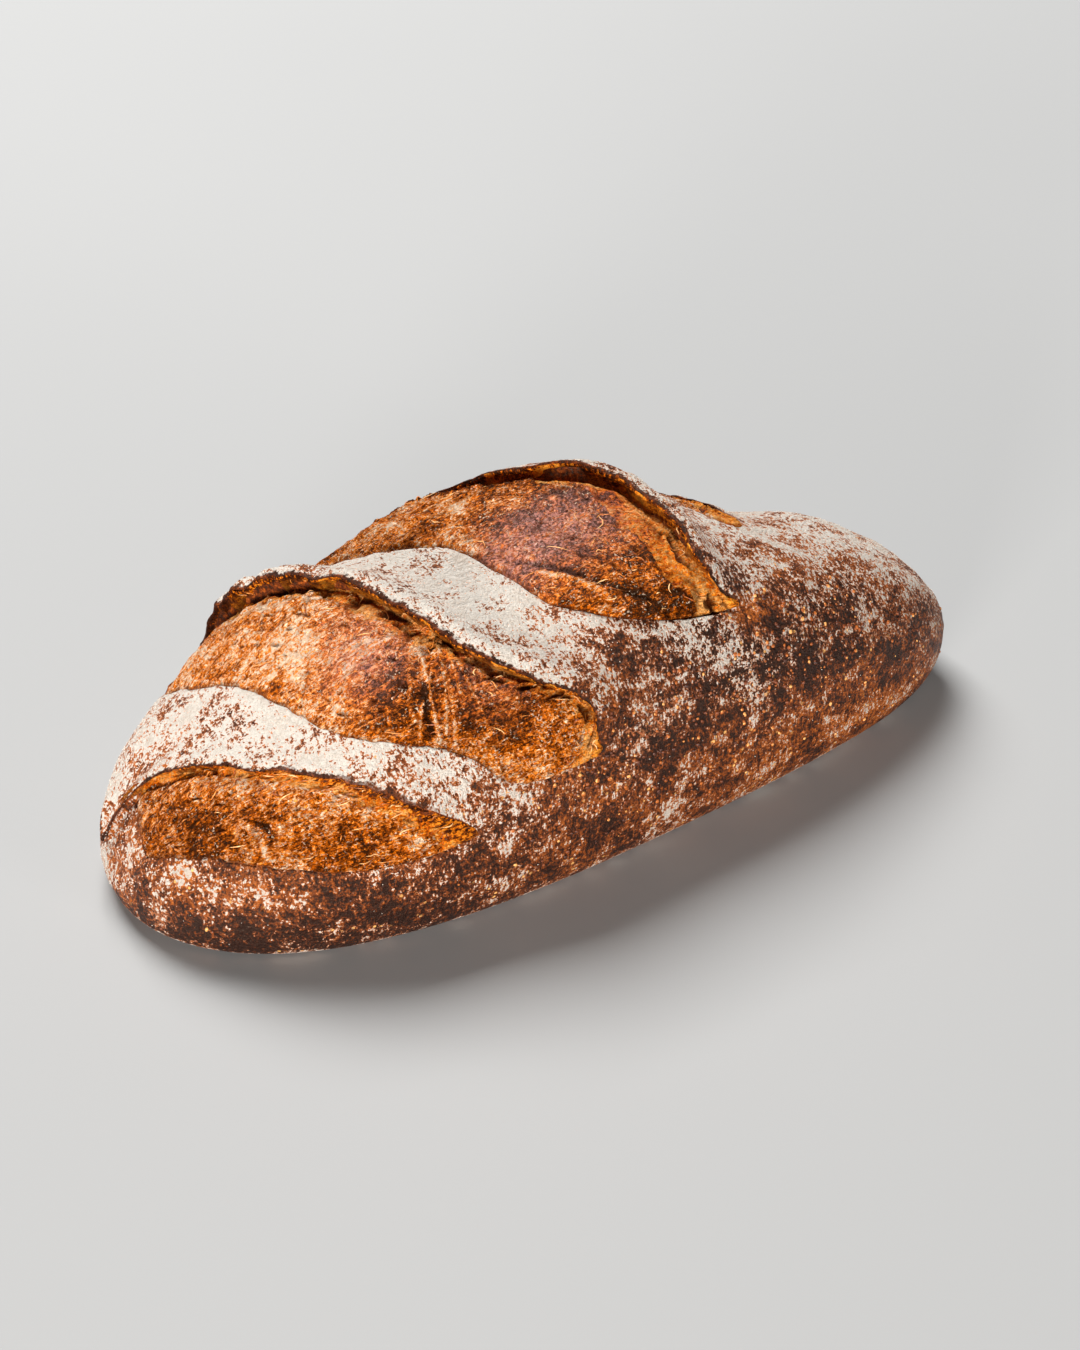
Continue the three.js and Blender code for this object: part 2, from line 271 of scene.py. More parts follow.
def size_along(size, s):
    """A size that is nothing at the slash's tips and its most in between."""
    most, at, fall = size
    t = np.clip(s, 1e-6, 1 - 1e-6)
    value = most * (t / at) ** (fall * at) * ((1 - t) / (1 - at)) ** (fall * (1 - at))
    return np.where((s > 0) & (s < 1), value, 0)


def cut_at(index, g):
    """Everything about a slash that depends on the girth alone."""
    slash = SLASHES[index]
    x = ear_line(slash, g)
    lean = (ear_line(slash, g + 0.01) - ear_line(slash, g - 0.01)) / 0.02 / MM_PER_GIRTH
    far = slash["ear_line"][0][1]
    near = slash["ear_line"][-1][1]
    s = (far - g) / (far - near)
    bare_from = slash.get("bare_from", 0)
    return dict(
        index=index, g=g, x=x, s=s, lean=slash["lean"],
        per_x=skin_stretch(x, g) / np.hypot(1, lean),
        width=size_along(slash["width"], (s - bare_from) / (1 - bare_from)),
        swell=size_along(slash["swell"], s),
        ear=size_along(slash["ear"], s),
        from_tip=np.minimum(far - g, g - near) * MM_PER_GIRTH,
    )


def crumb_height(cut, x):
    """How high the bare crumb stands over the plain skin."""
    across = np.clip((cut["x"] - x) / np.maximum(cut["width"], 1e-3), 0, 1)
    from_ear = (cut["x"] - x) * cut["per_x"]
    dome = np.sin(np.pi / 2 * (1 - across)) ** 1.1
    groove = 1 - GROOVE_SHARE * np.exp(-(from_ear / GROOVE_WIDTH) ** 2)
    middle = np.sqrt(np.sin(np.pi * across))
    height = cut["swell"] * dome * groove
    if cut["index"] == CLEFT_SLASH:
        line = -61 + 13 * (cut["g"] + 0.04)
        cleft = np.exp(-((x - line) / CLEFT_HALF_WIDTH) ** 2) * smooth_step((0.12 - cut["g"]) / 0.25)
        height = height - CLEFT_DEPTH * cleft * middle
    if cut["index"] == CREASE_SLASH:
        line = 2 - 46 * (cut["g"] + 0.05)
        lower = smooth_step((x - line + 6) / 12) * smooth_step((0.12 - cut["g"]) / 0.2)
        height = height - CREASE_DEPTH * lower * middle
    return np.where((cut["s"] > 0) & (cut["s"] < 1), height, 0)


def ear_height(cut, x):
    """How high the crust behind the ear stands over the plain skin."""
    return cut["ear"] / (1 + (np.maximum(x - cut["x"], 0) * cut["per_x"] / EAR_BACK) ** 2.2)


def own_height(cut, x):
    return np.where(x < cut["x"], crumb_height(cut, x), ear_height(cut, x))


def patch(x, g, at_x, at_g, size_x, size_g):
    """A soft oval patch on the skin, 1 in its middle."""
    return np.exp(-((x - at_x) / size_x) ** 2 - ((g - at_g) / size_g) ** 2)


def relief(cuts, x, without=None):
    """Height over the plain loaf from its lumps and from every slash but the one left out."""
    g = cuts[0]["g"] + 0 * x
    place = plain_skin(x, g)
    height = 1.1 * smooth_noise(place, 38, 3) + 0.5 * smooth_noise(place, 15, 5)
    height = height - SADDLE_DEPTH * patch(x, g, *SADDLE_AT, *SADDLE_SIZE)
    for cut in cuts:
        if cut is not without:
            height = height + own_height(cut, x)
    return height


middle_cut = cut_at(2, np.array([0.0]))
print("third ear at the ridge: x", middle_cut["x"].round(1), "stands", middle_cut["ear"].round(1), "mm")

# %% [markdown]
# Across a slash the skin folds back on itself, which a height over a plain can't do. So the section is a
# short path: along the crumb, down into the groove, up the ear's torn wall, round its thin lip and away
# over the crust. Rows of points follow the ear line, which keeps the lip as crisp as a real torn crust.

# %% The folded section across a slash
# out in mm from the ear line, then the share of the way from the groove's floor to the ear's top,
# or None where the point simply lies on the crumb or on the ear's back
SECTION = [
    (-9, None), (-6, None), (-3.5, None), (-1.6, None), (0, None), (1.3, 0.02), (1.9, 0.2), (1.3, 0.5),
    (0.2, 0.72), (-1, 0.83), (-2, 0.9), (-2.4, 0.96), (-1.9, 1.0), (-0.6, 1.02), (1.8, 1.0),
    (4.5, None), (8, None), (12, None), (16, None),
]
FLOOR_POINT = 5
LIP_POINT = 11
# the lean in mm that the section is drawn with, and the height in mm from which an ear is fully folded
SECTION_LEAN = 2.2
OPEN_EAR = 4


def band_lines(cuts):
    """For each slash: where its crumb's flush edge, its folded section's start and its ear's back end lie."""
    edges, starts, ends = [], [], []
    for k, cut in enumerate(cuts):
        before = cuts[k - 1]["x"] if k else -HALF
        band = np.hypot(cut["width"], NARROWEST_BAND / cut["per_x"])
        edges.append(np.maximum(cut["x"] - band, mix(before, cut["x"], 0.35 if k else 0.25)))
        starts.append(np.maximum(cut["x"] + SECTION[0][0] / cut["per_x"], mix(edges[k], cut["x"], 0.55)))
    for k, cut in enumerate(cuts):
        after = edges[k + 1] if k < len(cuts) - 1 else HALF
        ends.append(np.minimum(cut["x"] + SECTION[-1][0] / cut["per_x"], mix(cut["x"], after, 0.6)))
    return edges, starts, ends


def section_controls(cut, cuts, start, end, section):
    """x and height of each point of the section, for every column."""
    first, last = SECTION[0][0], SECTION[-1][0]
    opened = smooth_step(cut["ear"] / OPEN_EAR)
    floor = crumb_height(cut, cut["x"])
    rows = []
    for index, (out, level) in enumerate(section):
        leaning = out * cut["lean"] / SECTION_LEAN if level is not None and out < 0 else out
        away = mix(mix(first, last, index / (len(SECTION) - 1)), leaning, opened)
        reach = np.where(away < 0, (cut["x"] - start) / -first, (end - cut["x"]) / last)
        x = cut["x"] + away * reach
        plain = own_height(cut, x)
        folded = plain if level is None else mix(floor, cut["ear"], level)
        rows.append((x, relief(cuts, x, cut) + mix(plain, folded, opened)))
    return np.array([r[0] for r in rows]), np.array([r[1] for r in rows])


def along_path(controls, places):
    """Smooth curve through control rows, sampled at fractional row numbers."""
    index = np.clip(np.floor(places).astype(int), 0, len(controls) - 2)
    t = (places - index)[:, None]
    before = controls[np.maximum(index - 1, 0)]
    p0, p1 = controls[index], controls[index + 1]
    after = controls[np.minimum(index + 2, len(controls) - 1)]
    return 0.5 * (
        2 * p0 + (p1 - before) * t + (2 * before - 5 * p0 + 4 * p1 - after) * t ** 2
        + (3 * p0 - before - 3 * p1 + after) * t ** 3
    )


def ragged_cut(index, g):
    """A cut whose ear is torn unevenly along its lip."""
    cut = cut_at(index, g)
    path = np.stack([g * MM_PER_GIRTH, 0 * g, 0 * g], -1)
    torn = layered_noise(path, 9, 40 + index) + 0.5 * smooth_noise(path, 2.8, 45 + index)
    share = smooth_step(cut["ear"] / OPEN_EAR)
    cut["ear"] = cut["ear"] + share * 0.8 * torn
    if index == CLEFT_SLASH:
        torn_end = np.exp(-((g - 0.5) / 0.16) ** 2)
        cut["ear"] = cut["ear"] + share * torn_end * (2.6 + 1.6 * smooth_noise(path, 3.2, 48))
    cut["lean"] = cut["lean"] * (1 + 0.35 * layered_noise(path, 7, 50 + index) * share)
    return cut


print("section points:", len(SECTION))

# %% [markdown]
# The relief fades out down the sides, so that the underside stays flat. Every grid of skin points below
# is placed by the same three lines: a point of the plain skin, its outward direction and a height.

# %% From x, g and height to points
RELIEF_UNTIL = 0.8
ROUND_CORNER = 3


def relief_share(g):
    return (1 - np.clip((np.abs(g) - RELIEF_UNTIL) / (GIRTH_END - RELIEF_UNTIL), 0, 1)) ** 1.5


def skin_points(x, g, height):
    kept = np.clip(x, -HALF + 0.02, HALF - 0.02)
    return plain_skin(kept, g) + plain_normal(kept, g) * (height * relief_share(g))[..., None]


def grid_normals(points):
    """Outward directions of a grid whose rows run along the loaf and whose columns run across it."""
    cross = np.cross(np.gradient(points, axis=0), np.gradient(points, axis=1))
    return cross / (np.linalg.norm(cross, axis=-1, keepdims=True) + 1e-9)


def crumb_depth(cut, x, from_lip):
    """Signed mm inside the bare crumb, with a ragged edge: positive on it, negative on the crust round it."""
    place = plain_skin(np.clip(x, -HALF, HALF), cut["g"] + 0 * x)
    ragged = 0.8 * smooth_noise(place, 6.5, 31) + 0.55 * smooth_noise(place, 2.6, 32)
    from_edge = (x - (cut["x"] - cut["width"])) * cut["per_x"]
    inside = [from_edge + ragged, 0.8 * cut["from_tip"] + ragged, from_lip]
    crowding = sum(np.exp(-np.clip(value, -60, 60) / ROUND_CORNER) for value in inside)
    return -ROUND_CORNER * np.log(crowding)


def make_mesh(name, points, faces, attributes, uv=None, edges=()):
    """A mesh object in metres from points in mm, with one value per point for each attribute."""
    mesh = bpy.data.meshes.new(name)
    mesh.from_pydata((points / 1000).tolist(), edges, faces)
    for label, values in attributes.items():
        values = np.asarray(values, np.float32)
        kind = "FLOAT" if values.ndim == 1 else "FLOAT_VECTOR"
        store = mesh.attributes.new(label, kind, "POINT")
        store.data.foreach_set("value" if kind == "FLOAT" else "vector", values.ravel())
    if uv is not None:
        layer = mesh.uv_layers.new(name="OFBake")
        layer.data.foreach_set("uv", np.asarray(uv, np.float32).ravel())
    mesh.polygons.foreach_set("use_smooth", np.ones(len(mesh.polygons), bool))
    mesh.update()
    made = bpy.data.objects.new(name, mesh)
    bpy.context.scene.collection.objects.link(made)
    return made


print("relief share at the widest line:", relief_share(np.array(1.0)).round(2))

# %% [markdown]
# The crust is one closed skin of rows and columns. Under the bare crumb it lies some three millimetres
# lower, because finer pads of crumb cover it there and the crust's torn edge then stands up round them.
# The lips are ragged: the ear's height and lean change a little along it, as they do where dough tears.

# %% Rows of the crust
# rows left of the first slash, over each slash's crumb, on each strip of crust between two slashes,
# right of the last slash, and over each folded section
ROWS_LEFT = 30
ROWS_CRUMB = [18, 20, 26, 10]
ROWS_STRIP = [36, 34, 24]
ROWS_RIGHT = 84
SECTION_ROWS = 34
COLUMNS = 230
# mm from the left tip to the first row, and from the crumb's flush edge to its own first row, and how
# deep the crust lies under the crumb
FIRST_ROW_IN = 0.03
EDGE_STEP = 0.35
CRUMB_SUNK = 3.4

girth = np.linspace(-GIRTH_END, GIRTH_END, COLUMNS)
cuts = [ragged_cut(k, girth) for k in range(4)]
edges, starts, ends = band_lines(cuts)
places = np.interp(
    np.linspace(0, 1, SECTION_ROWS), [0, 0.12, 0.82, 1], [0, FLOOR_POINT - 2, LIP_POINT + 4, len(SECTION) - 1]
)

x_rows, height_rows, lip_rows = [], [], []


def add_plain(x):
    x_rows.append(x)
    height_rows.append(relief(cuts, x))


for i in range(1, ROWS_LEFT + 1):
    add_plain(mix(-HALF + FIRST_ROW_IN, edges[0], 1 - math.cos(i / ROWS_LEFT * math.pi / 2)))
for k, cut in enumerate(cuts):
    add_plain(edges[k] + EDGE_STEP / cut["per_x"])
    for i in range(1, ROWS_CRUMB[k] + 1):
        add_plain(mix(edges[k], starts[k], i / (ROWS_CRUMB[k] + 1)))
    control_x, control_height = section_controls(cut, cuts, starts[k], ends[k], SECTION)
    lip_rows.append(len(x_rows) + int(np.argmin(np.abs(places - LIP_POINT))))
    x_rows.extend(along_path(control_x, places))
    height_rows.extend(along_path(control_height, places))
    if k < len(cuts) - 1:
        for i in range(1, ROWS_STRIP[k] + 2):
            add_plain(mix(ends[k], edges[k + 1], i / (ROWS_STRIP[k] + 1)))
for i in range(1, ROWS_RIGHT):
    add_plain(mix(ends[-1], HALF, math.sin(i / ROWS_RIGHT * math.pi / 2)))

x_grid, height_grid = np.array(x_rows), np.array(height_rows)
g_grid = girth[None, :] + 0 * x_grid
crust_points = skin_points(x_grid, g_grid, height_grid)
print("crust rows and columns:", x_grid.shape)

# %% [markdown]
# Finishes change with the place on the loaf, so each point carries a few measures. Three of them say how
# thick the flour is there, how much of it soaked into a thin orange-brown film, and how dark the oven
# made the crust. They could be painted by hand on an image. A rule with a few soft patches needs no
# image: the flour is thick on the top and the far side and thin down the near side, and the patches put
# the loaf's own clouds of flour and scorch where they belong.

# %% Flour, film and scorch
# soft patches: how much, then x and girth of the middle, then the size along x and along the girth
FLOUR_PATCHES = [
    (0.30, -140, 0.3, 45, 0.5), (-0.42, -172, -0.1, 22, 0.55), (0.32, -30, 0.05, 34, 0.4),
    (0.16, 62, 0.2, 15, 0.5), (0.20, -62, -0.88, 22, 0.2), (0.14, -135, -0.95, 40, 0.22),
    (0.14, -70, -0.55, 30, 0.25), (0.22, 35, -0.55, 22, 0.28), (-0.10, 8, -0.5, 14, 0.2),
    (-0.24, 105, -0.7, 60, 0.35), (0.30, 132, 0.12, 36, 0.3), (-0.14, -100, -1.2, 60, 0.16),
    (-0.70, 60, -0.5, 12, 0.1), (-0.10, -130, -1.0, 50, 0.2),
]
FILM_PATCHES = [
    (0.34, 10, -0.6, 28, 0.35), (0.24, 0, 0.1, 200, 0.7),
    (0.20, -120, -1.0, 60, 0.2), (-0.30, 110, -1.0, 60, 0.3),
]
SCORCH_PATCHES = [
    (0.5, 60, -0.6, 50, 0.35), (0.5, -120, -1.15, 60, 0.16), (-0.3, 128, -0.1, 40, 0.4),
    (-0.4, 78, 0.1, 22, 0.4), (-0.45, 95, -1.05, 70, 0.2), (-0.9, 60, -0.5, 9, 0.08),
]


def patches(x, g, rows):
    """Several soft patches added up."""
    return sum(much * patch(x, g, *place) for much, *place in rows)


def flour_cover(x, g):
    """How thickly the crust is floured, from 0 to 1."""
    side = smooth_step(g, -0.95, -0.35)
    left = smooth_step(-x, -30, 90)
    cover = 0.08 + side * (0.47 + 0.25 * left) - 0.34 * smooth_step(g, 0.7, 1.15)
    foot_line = np.exp(-((np.abs(g) - 1.22) / 0.03) ** 2)
    return np.clip(cover + patches(x, g, FLOUR_PATCHES) + 0.6 * foot_line, 0, 1)


def film_cover(x, g):
    """How much of the thin film of soaked flour lies on the brown, from 0 to 1."""
    return np.clip(0.08 + patches(x, g, FILM_PATCHES), 0, 1)


def scorch(x, g):
    """How dark the oven made the crust: 1 is darkest, and below 0 it stays lighter than elsewhere."""
    return np.clip(0.3 + patches(x, g, SCORCH_PATCHES), -0.6, 1)


print("flour on the ridge at x -140:", flour_cover(np.array(-140.0), np.array(0.0)).round(2))

# %% [markdown]
# The other measures are distances. How deep a point lies inside the bare crumb decides where the crust
# sinks under the pads, and how far it is from an ear's lip decides where the lip is charred. Fine
# wrinkles are pushed out of the crust at the same time, because a crust that dried in the oven is never
# quite smooth. They fade out on the underside, which lay on the stone.

# %% Distances and wrinkles on the crust
arc = np.concatenate([
    np.zeros((1, COLUMNS)), np.cumsum(np.linalg.norm(np.diff(crust_points, axis=0), axis=-1), 0)
])
crumb_mm = np.full(x_grid.shape, -50.0)
lip_mm = np.full(x_grid.shape, 50.0)
ear_size = np.zeros(x_grid.shape)
sunk = np.zeros(x_grid.shape)
for k, cut in enumerate(cuts):
    from_lip = arc[lip_rows[k]] - arc
    depth = crumb_depth(cut, x_grid, from_lip)
    crumb_mm = np.maximum(crumb_mm, depth)
    sunk = np.maximum(sunk, CRUMB_SUNK * smooth_step(depth, -0.1, 1.2) * smooth_step(from_lip, 0.8, 14))
    nearer = np.abs(from_lip) < np.abs(lip_mm)
    lip_mm = np.where(nearer, -from_lip, lip_mm)
    ear_size = np.where(nearer, cut["ear"], ear_size)

normals = grid_normals(crust_points)
wrinkles = 0.30 * layered_noise(crust_points, 6, 11) + 0.12 * layered_noise(crust_points, 2.6, 12, 2)
on_crust = smooth_step(-crumb_mm, -0.2, 1.0) * relief_share(g_grid)
crust_points = crust_points + normals * (wrinkles * on_crust - sunk)[..., None]
print("sunk under the crumb, mm:", sunk.max().round(2))

# %% [markdown]
# The underside is one strip between the last column and the first, and a point closes each end. The
# same shift that stands the CAD solid on its origin is worked out here from the finished grid.

# %% Close the crust
def closed_grid_faces(rows, columns):
    """Quads of a grid that is closed across, and a fan at each end round two more points."""
    at = np.arange(rows * columns).reshape(rows, columns)
    after = np.roll(at, -1, axis=1)
    quads = np.stack([at[:-1], at[1:], after[1:], after[:-1]], -1).reshape(-1, 4)
    left, right = rows * columns, rows * columns + 1
    fans = [(left, int(at[0, j]), int(after[0, j])) for j in range(columns)]
    fans += [(right, int(after[-1, j]), int(at[-1, j])) for j in range(columns)]
    return quads.tolist() + fans


def closed_grid_uv(rows, columns):
    """The same faces laid flat: along the loaf is u, across it is v."""
    i, j = np.meshgrid(np.arange(rows - 1), np.arange(columns), indexing="ij")
    corner = np.stack([np.stack([i + a, j + b], -1) for a, b in ((0, 0), (1, 0), (1, 1), (0, 1))], 2)
    quads = corner.reshape(-1, 2) + [1, 0]
    fans = []
    for j in range(columns):
        fans += [(0, j + 0.5), (1, j), (1, j + 1)]
    for j in range(columns):
        fans += [(rows + 1, j + 0.5), (rows, j + 1), (rows, j)]
    return np.concatenate([quads, fans]) / [rows + 1, columns]


rows = len(crust_points)
tips = np.array([[-HALF, 0, LEFT_END_LIFT], [HALF, 0, RIGHT_END_LIFT]])
flat_points = np.concatenate([crust_points.reshape(-1, 3), tips])
low, high = flat_points.min(0), flat_points.max(0)
SHIFT = np.array([-(low[0] + high[0]) / 2, -(low[1] + high[1]) / 2, -low[2]])


floured = flour_cover(x_grid, g_grid)
# each measure on the grid, then its value at the left tip and at the right tip
crust_measures = dict(
    crumb_mm=(crumb_mm, -50, -50),
    lip_mm=(np.where(lip_mm < -2, 50, lip_mm), 50, 50),
    ear_mm=(ear_size, 0, 0),
    flour=(floured, 0.5, 0.3),
    scorch=(scorch(x_grid, g_grid), 0.3, 0.3),
    film=(film_cover(x_grid, g_grid), 0.2, 0.2),
    crackle=(smooth_step(-x_grid, 110, 160), 1, 0),
    skin=(np.stack([x_grid, g_grid * MM_PER_GIRTH, 0 * x_grid], -1), (-HALF, 0, 0), (HALF, 0, 0)),
)
crust_measures = {
    name: np.concatenate([grid.reshape(-1, *grid.shape[2:]), [left_tip, right_tip]])
    for name, (grid, left_tip, right_tip) in crust_measures.items()
}
loaf = make_mesh(
    "loaf_crust", flat_points + SHIFT, closed_grid_faces(rows, COLUMNS), crust_measures,
    closed_grid_uv(rows, COLUMNS),
)
print("crust triangles:", 2 * rows * COLUMNS, "shift", SHIFT.round(2))

# %% [markdown]
# The bare crumb tore open as the loaf sprang in the oven, so its surface is all short fibres that run
# across the slash, with pores along the foot of the ear. Bump alone would leave its outline smooth, so
# each slash gets a pad of crumb with half a millimetre between its points, and the fibres and pores are
# real relief. The noise that makes them reads a place along the slash and across it, not x, y and z.

# %% Fibres and pores of the crumb
PAD_STEP = 0.55


def pad_relief(place, normal_place, foot, index):
    """Relief of torn crumb in mm, and its pits from 0 to 1, at places (along the slash, across it)."""
    fibres = layered_noise(place, (1.7, 4.2, 1), 60 + index, 2)
    fibres = fibres + 0.6 * layered_noise(place, (3.8, 10, 1), 64 + index, 2)
    lumps = layered_noise(normal_place, 8, 68 + index, 2)
    near_foot = np.exp(-((foot - 3.5) / 5.0) ** 2)
    pores = smooth_step(smooth_noise(place, (3.6, 2.8, 1), 72 + index), 0.22, 0.5)
    wide_pores = smooth_step(smooth_noise(place, (8.0, 4.0, 1), 76 + index), 0.28, 0.5)
    pits = near_foot * np.maximum(pores, wide_pores) * (0.35 if index == 0 else 1)
    small_pits = 0.5 * smooth_step(smooth_noise(place, (2.6, 2.6, 1), 84 + index), 0.55, 0.85)
    pits = np.maximum(pits, small_pits)
    return 0.5 * fibres + 0.3 * lumps - 2.1 * pits, pits


print("mm between the points of a pad:", PAD_STEP)

# %% [markdown]
# Stretched dough leaves thin ridges and creases on the crumb, and a fan of strands crosses the cleft of
# the second slash. Each is a bowed line with a soft profile, which is easier to place than to sculpt.
# Away from the ear the crumb has a browned skin with a wandering edge, because it met the oven's heat
# first. In the third slash that skin is thick and tore up into points.

# %% Ridges, creases and browned skin
FAN_STRANDS = 7
# x and girth at the start and at the end, sideways bend in mm, height in mm (below 0 for a crease)
# and half width in mm
RIDGES = [[] for _ in SLASHES]
RIDGES[0] = [
    (-157, 0.03, -133, -0.22, 1.5, -1.3, 0.7), (-138.5, -0.43, -134.5, -0.66, 2.5, 1.0, 0.8),
    (-134, -0.45, -131.5, -0.62, 2, -0.9, 0.8),
]
RIDGES[1] = [(-70.5, -0.27, -75.5, -0.44, -2.5, 1.1, 0.6), (-67.5, -0.3, -71.5, -0.5, -2, -0.8, 0.9)]
RIDGES[2] = [
    (-21, -0.01, 3, -0.23, 1.5, -1.3, 0.9), (3, -0.22, 22, -0.36, -2, -0.7, 0.9),
    (-16, -0.09, 6, -0.31, 2, 0.7, 1.1), (30, -0.31, 44, -0.45, 2, 0.8, 0.9),
]
fan = np.random.default_rng(5)
for strand in range(FAN_STRANDS):
    RIDGES[1].append((
        mix(-62, -55, strand / (FAN_STRANDS - 1)) + fan.uniform(-1.5, 1.5), -0.14 - fan.uniform(0, 0.14),
        mix(-78, -55, strand / (FAN_STRANDS - 1)) + fan.uniform(-2.5, 2.5), -0.42 - fan.uniform(0, 0.3),
        fan.uniform(-3, 2), fan.uniform(0.6, 1.5), fan.uniform(0.3, 0.55),
    ))
# distance from the ear's foot to the browned skin, and how high in mm that skin stands over the crumb
SKIN_FROM_FOOT = [3.4, 8, 19, 6]
SKIN_STEP = [0.3, 0.3, 1.6, 0.2]
# torn points of the browned skin in slash 3: x, g and height in mm
SKIN_PEAKS = [
    (4, 0.05, 3.6), (9, 0.055, 2.6), (15, 0.06, 3.2), (22, 0.06, 3.8), (28, 0.03, 2.8), (-4, 0.05, 1.6),
]


def ridges(index, x, g, per_x):
    """Height in mm of the ridges and creases of one pad, and a measure that is above 0 on a ridge, which
    paints a light strand, and below 0 in a crease, which paints shade.
    """
    height, strand = np.zeros(x.shape), np.zeros(x.shape)
    for x0, g0, x1, g1, bend, most, half_width in RIDGES[index]:
        t = (g0 - g) / (g0 - g1)
        slope = (x1 - x0) / (g0 - g1) / MM_PER_GIRTH
        line = mix(x0, x1, t) + bend * np.sin(np.pi * np.clip(t, 0, 1))
        away = (x - line) * per_x / math.hypot(1, slope)
        ends = smooth_step(t, -0.02, 0.15) * smooth_step(1 - t, -0.02, 0.2)
        profile = np.exp(-(away / half_width) ** 2) * ends
        height = height + most * profile
        # in a crease the measure is below 0 and later darkens the crumb as painted shade
        strand = np.where(profile > np.abs(strand), np.sign(most) * profile, strand)
    return height, strand


print("ridges and creases on each slash:", [len(lines) for lines in RIDGES])

# %% [markdown]
# A pad has a folded section of its own. It starts just under the crust's flush edge, fills the groove,
# clings to the ear's wall and ends under the lip. Its relief fades out at the rim, where the crumb dives
# under the crust, so no gap shows between the two.

# %% Pads of torn crumb
# mm that a pad stands over the crust's own crumb, and that its rim lies under the crust
PAD_PROUD = 0.15
PAD_UNDER = 1.6
PAD_FOOT_POINT = 3
# each point as in the section of the crust
PAD_SECTION = [
    (-9, None), (-6.2, None), (-3.9, None), (-2.4, 0.13), (-1.5, 0.24), (-1.1, 0.36), (-1.1, 0.5),
    (-1.4, 0.63), (-1.8, 0.74), (-2.3, 0.83), (-2.7, 0.9), (-2.8, 0.96),
]


def make_pad(index):
    slash = SLASHES[index]
    near = slash["ear_line"][-1][1]
    far = mix(slash["ear_line"][0][1], near, max(slash.get("bare_from", 0) - 0.03, 0))
    tip = 0.012
    columns = int((far - near) * MM_PER_GIRTH / PAD_STEP)
    g = np.linspace(near + tip, far - tip, columns)
    cuts_here = [ragged_cut(k, g) if k == index else cut_at(k, g) for k in range(4)]
    cut = cuts_here[index]
    _, starts_here, ends_here = band_lines(cuts_here)
    outside = cut["x"] - np.maximum(cut["width"] + 1.4 / cut["per_x"], 5 / cut["per_x"])
    start, end = np.maximum(starts_here[index], outside), ends_here[index]
    flat_rows = max(12, int(cut["width"].max() * 0.82 / PAD_STEP))
    plain_x = np.array([mix(outside, start, i / flat_rows) for i in range(flat_rows)])
    plain_height = relief(cuts_here, plain_x)
    control_x, control_height = section_controls(cut, cuts_here, start, end, PAD_SECTION)
    where = np.linspace(0, len(PAD_SECTION) - 1.6, 34)
    x = np.concatenate([plain_x, along_path(control_x, where)])
    height = np.concatenate([plain_height, along_path(control_height, where)])
    g_here = g[None, :] + 0 * x
    base = skin_points(x, g_here, height)
    arc_here = np.concatenate([
        np.zeros((1, columns)), np.cumsum(np.linalg.norm(np.diff(base, axis=0), axis=-1), 0)
    ])
    floor_row = flat_rows + int(np.argmin(np.abs(where - PAD_FOOT_POINT)))
    foot = arc_here[floor_row] - arc_here
    from_lip = arc_here[-1] - arc_here
    depth = crumb_depth(cut, x, from_lip + 1.0)
    along = np.concatenate([[0], np.cumsum(np.linalg.norm(np.diff(base[floor_row], axis=0), axis=-1))])
    weave = np.stack([along[None, :] + 0 * x, foot, 0 * x], -1)
    proud = mix(-PAD_UNDER, PAD_PROUD, smooth_step(depth, -1.2, 0.6)) - 0.9 * smooth_step(-from_lip, -0.7, 0)
    free = smooth_step(depth, 0.0, 2.5) * smooth_step(from_lip, 0.2, 1.8)
    rough, pits = pad_relief(weave, base, foot, index)
    wander = layered_noise(weave, (7, 400, 1), 90 + index)
    wander = wander + 0.4 * smooth_noise(weave, (2.2, 400, 1), 94 + index)
    skin_from = SKIN_FROM_FOOT[index] * (1 - 0.35 * smooth_step(-g_here, 0.05, 0.4)) + 2.2 * wander
    skin = smooth_step(foot - skin_from, -0.5, 0.5)
    rim = np.exp(-((foot - skin_from - 0.8) / 0.9) ** 2)
    peaks = 0
    if index == CREASE_SLASH:
        peaks = sum(high * patch(x, g_here, at_x, at_g, 2.6, 0.022) for at_x, at_g, high in SKIN_PEAKS)
        peaks = peaks * smooth_step(foot, 6, 10)
    ridge, strand = ridges(index, x, g_here, cut["per_x"])
    rough = rough + SKIN_STEP[index] * (skin + 0.5 * rim) + peaks + ridge
    points = base + grid_normals(base) * (proud + rough * free)[..., None]
    return dict(
        points=points, base=base, foot=foot, depth=depth, weave=weave, pit=pits * free,
        skin=skin, rim=np.maximum(rim, np.clip(peaks, 0, 1)) * free, strand=strand * free,
        x=x, g=g_here, floor_row=floor_row, cut=cut, from_lip=from_lip,
    )


pads = [make_pad(k) for k in range(4)]
print("pad grids:", [pad["points"].shape[:2] for pad in pads])

# %% [markdown]
# Toasting says how dark each point of the crumb baked. It is palest in the shelter of the ear, darker on
# the shoulders and near the lip, and each slash has its own patches. In the ear's shade it is lightened
# further with painted light. Sheen says where a painted mauve sheen lies on the brown skin.

# %% How dark the crumb baked
TOAST = [0.44, 0.30, 0.57, 0.30]
WALL_ROAST = [0.42, 0.1, 0.0, 0.2]
# soft patches of each slash, as on the crust
TOAST_PATCHES = [
    [(0.16, -146, -0.38, 16, 0.2)],
    [
        (0.5, -75, -0.28, 17, 0.14), (0.3, -45, -0.5, 22, 0.16), (0.3, -86, -0.34, 12, 0.08),
        (0.26, -40, -0.56, 20, 0.24), (-0.32, -94, 0.08, 34, 0.3), (-0.24, -45, -0.76, 34, 0.08),
    ],
    [(0.3, 8, -0.3, 34, 0.16), (0.12, 10, -0.05, 24, 0.14), (-0.34, -40, 0.0, 24, 0.22)],
    [],
]
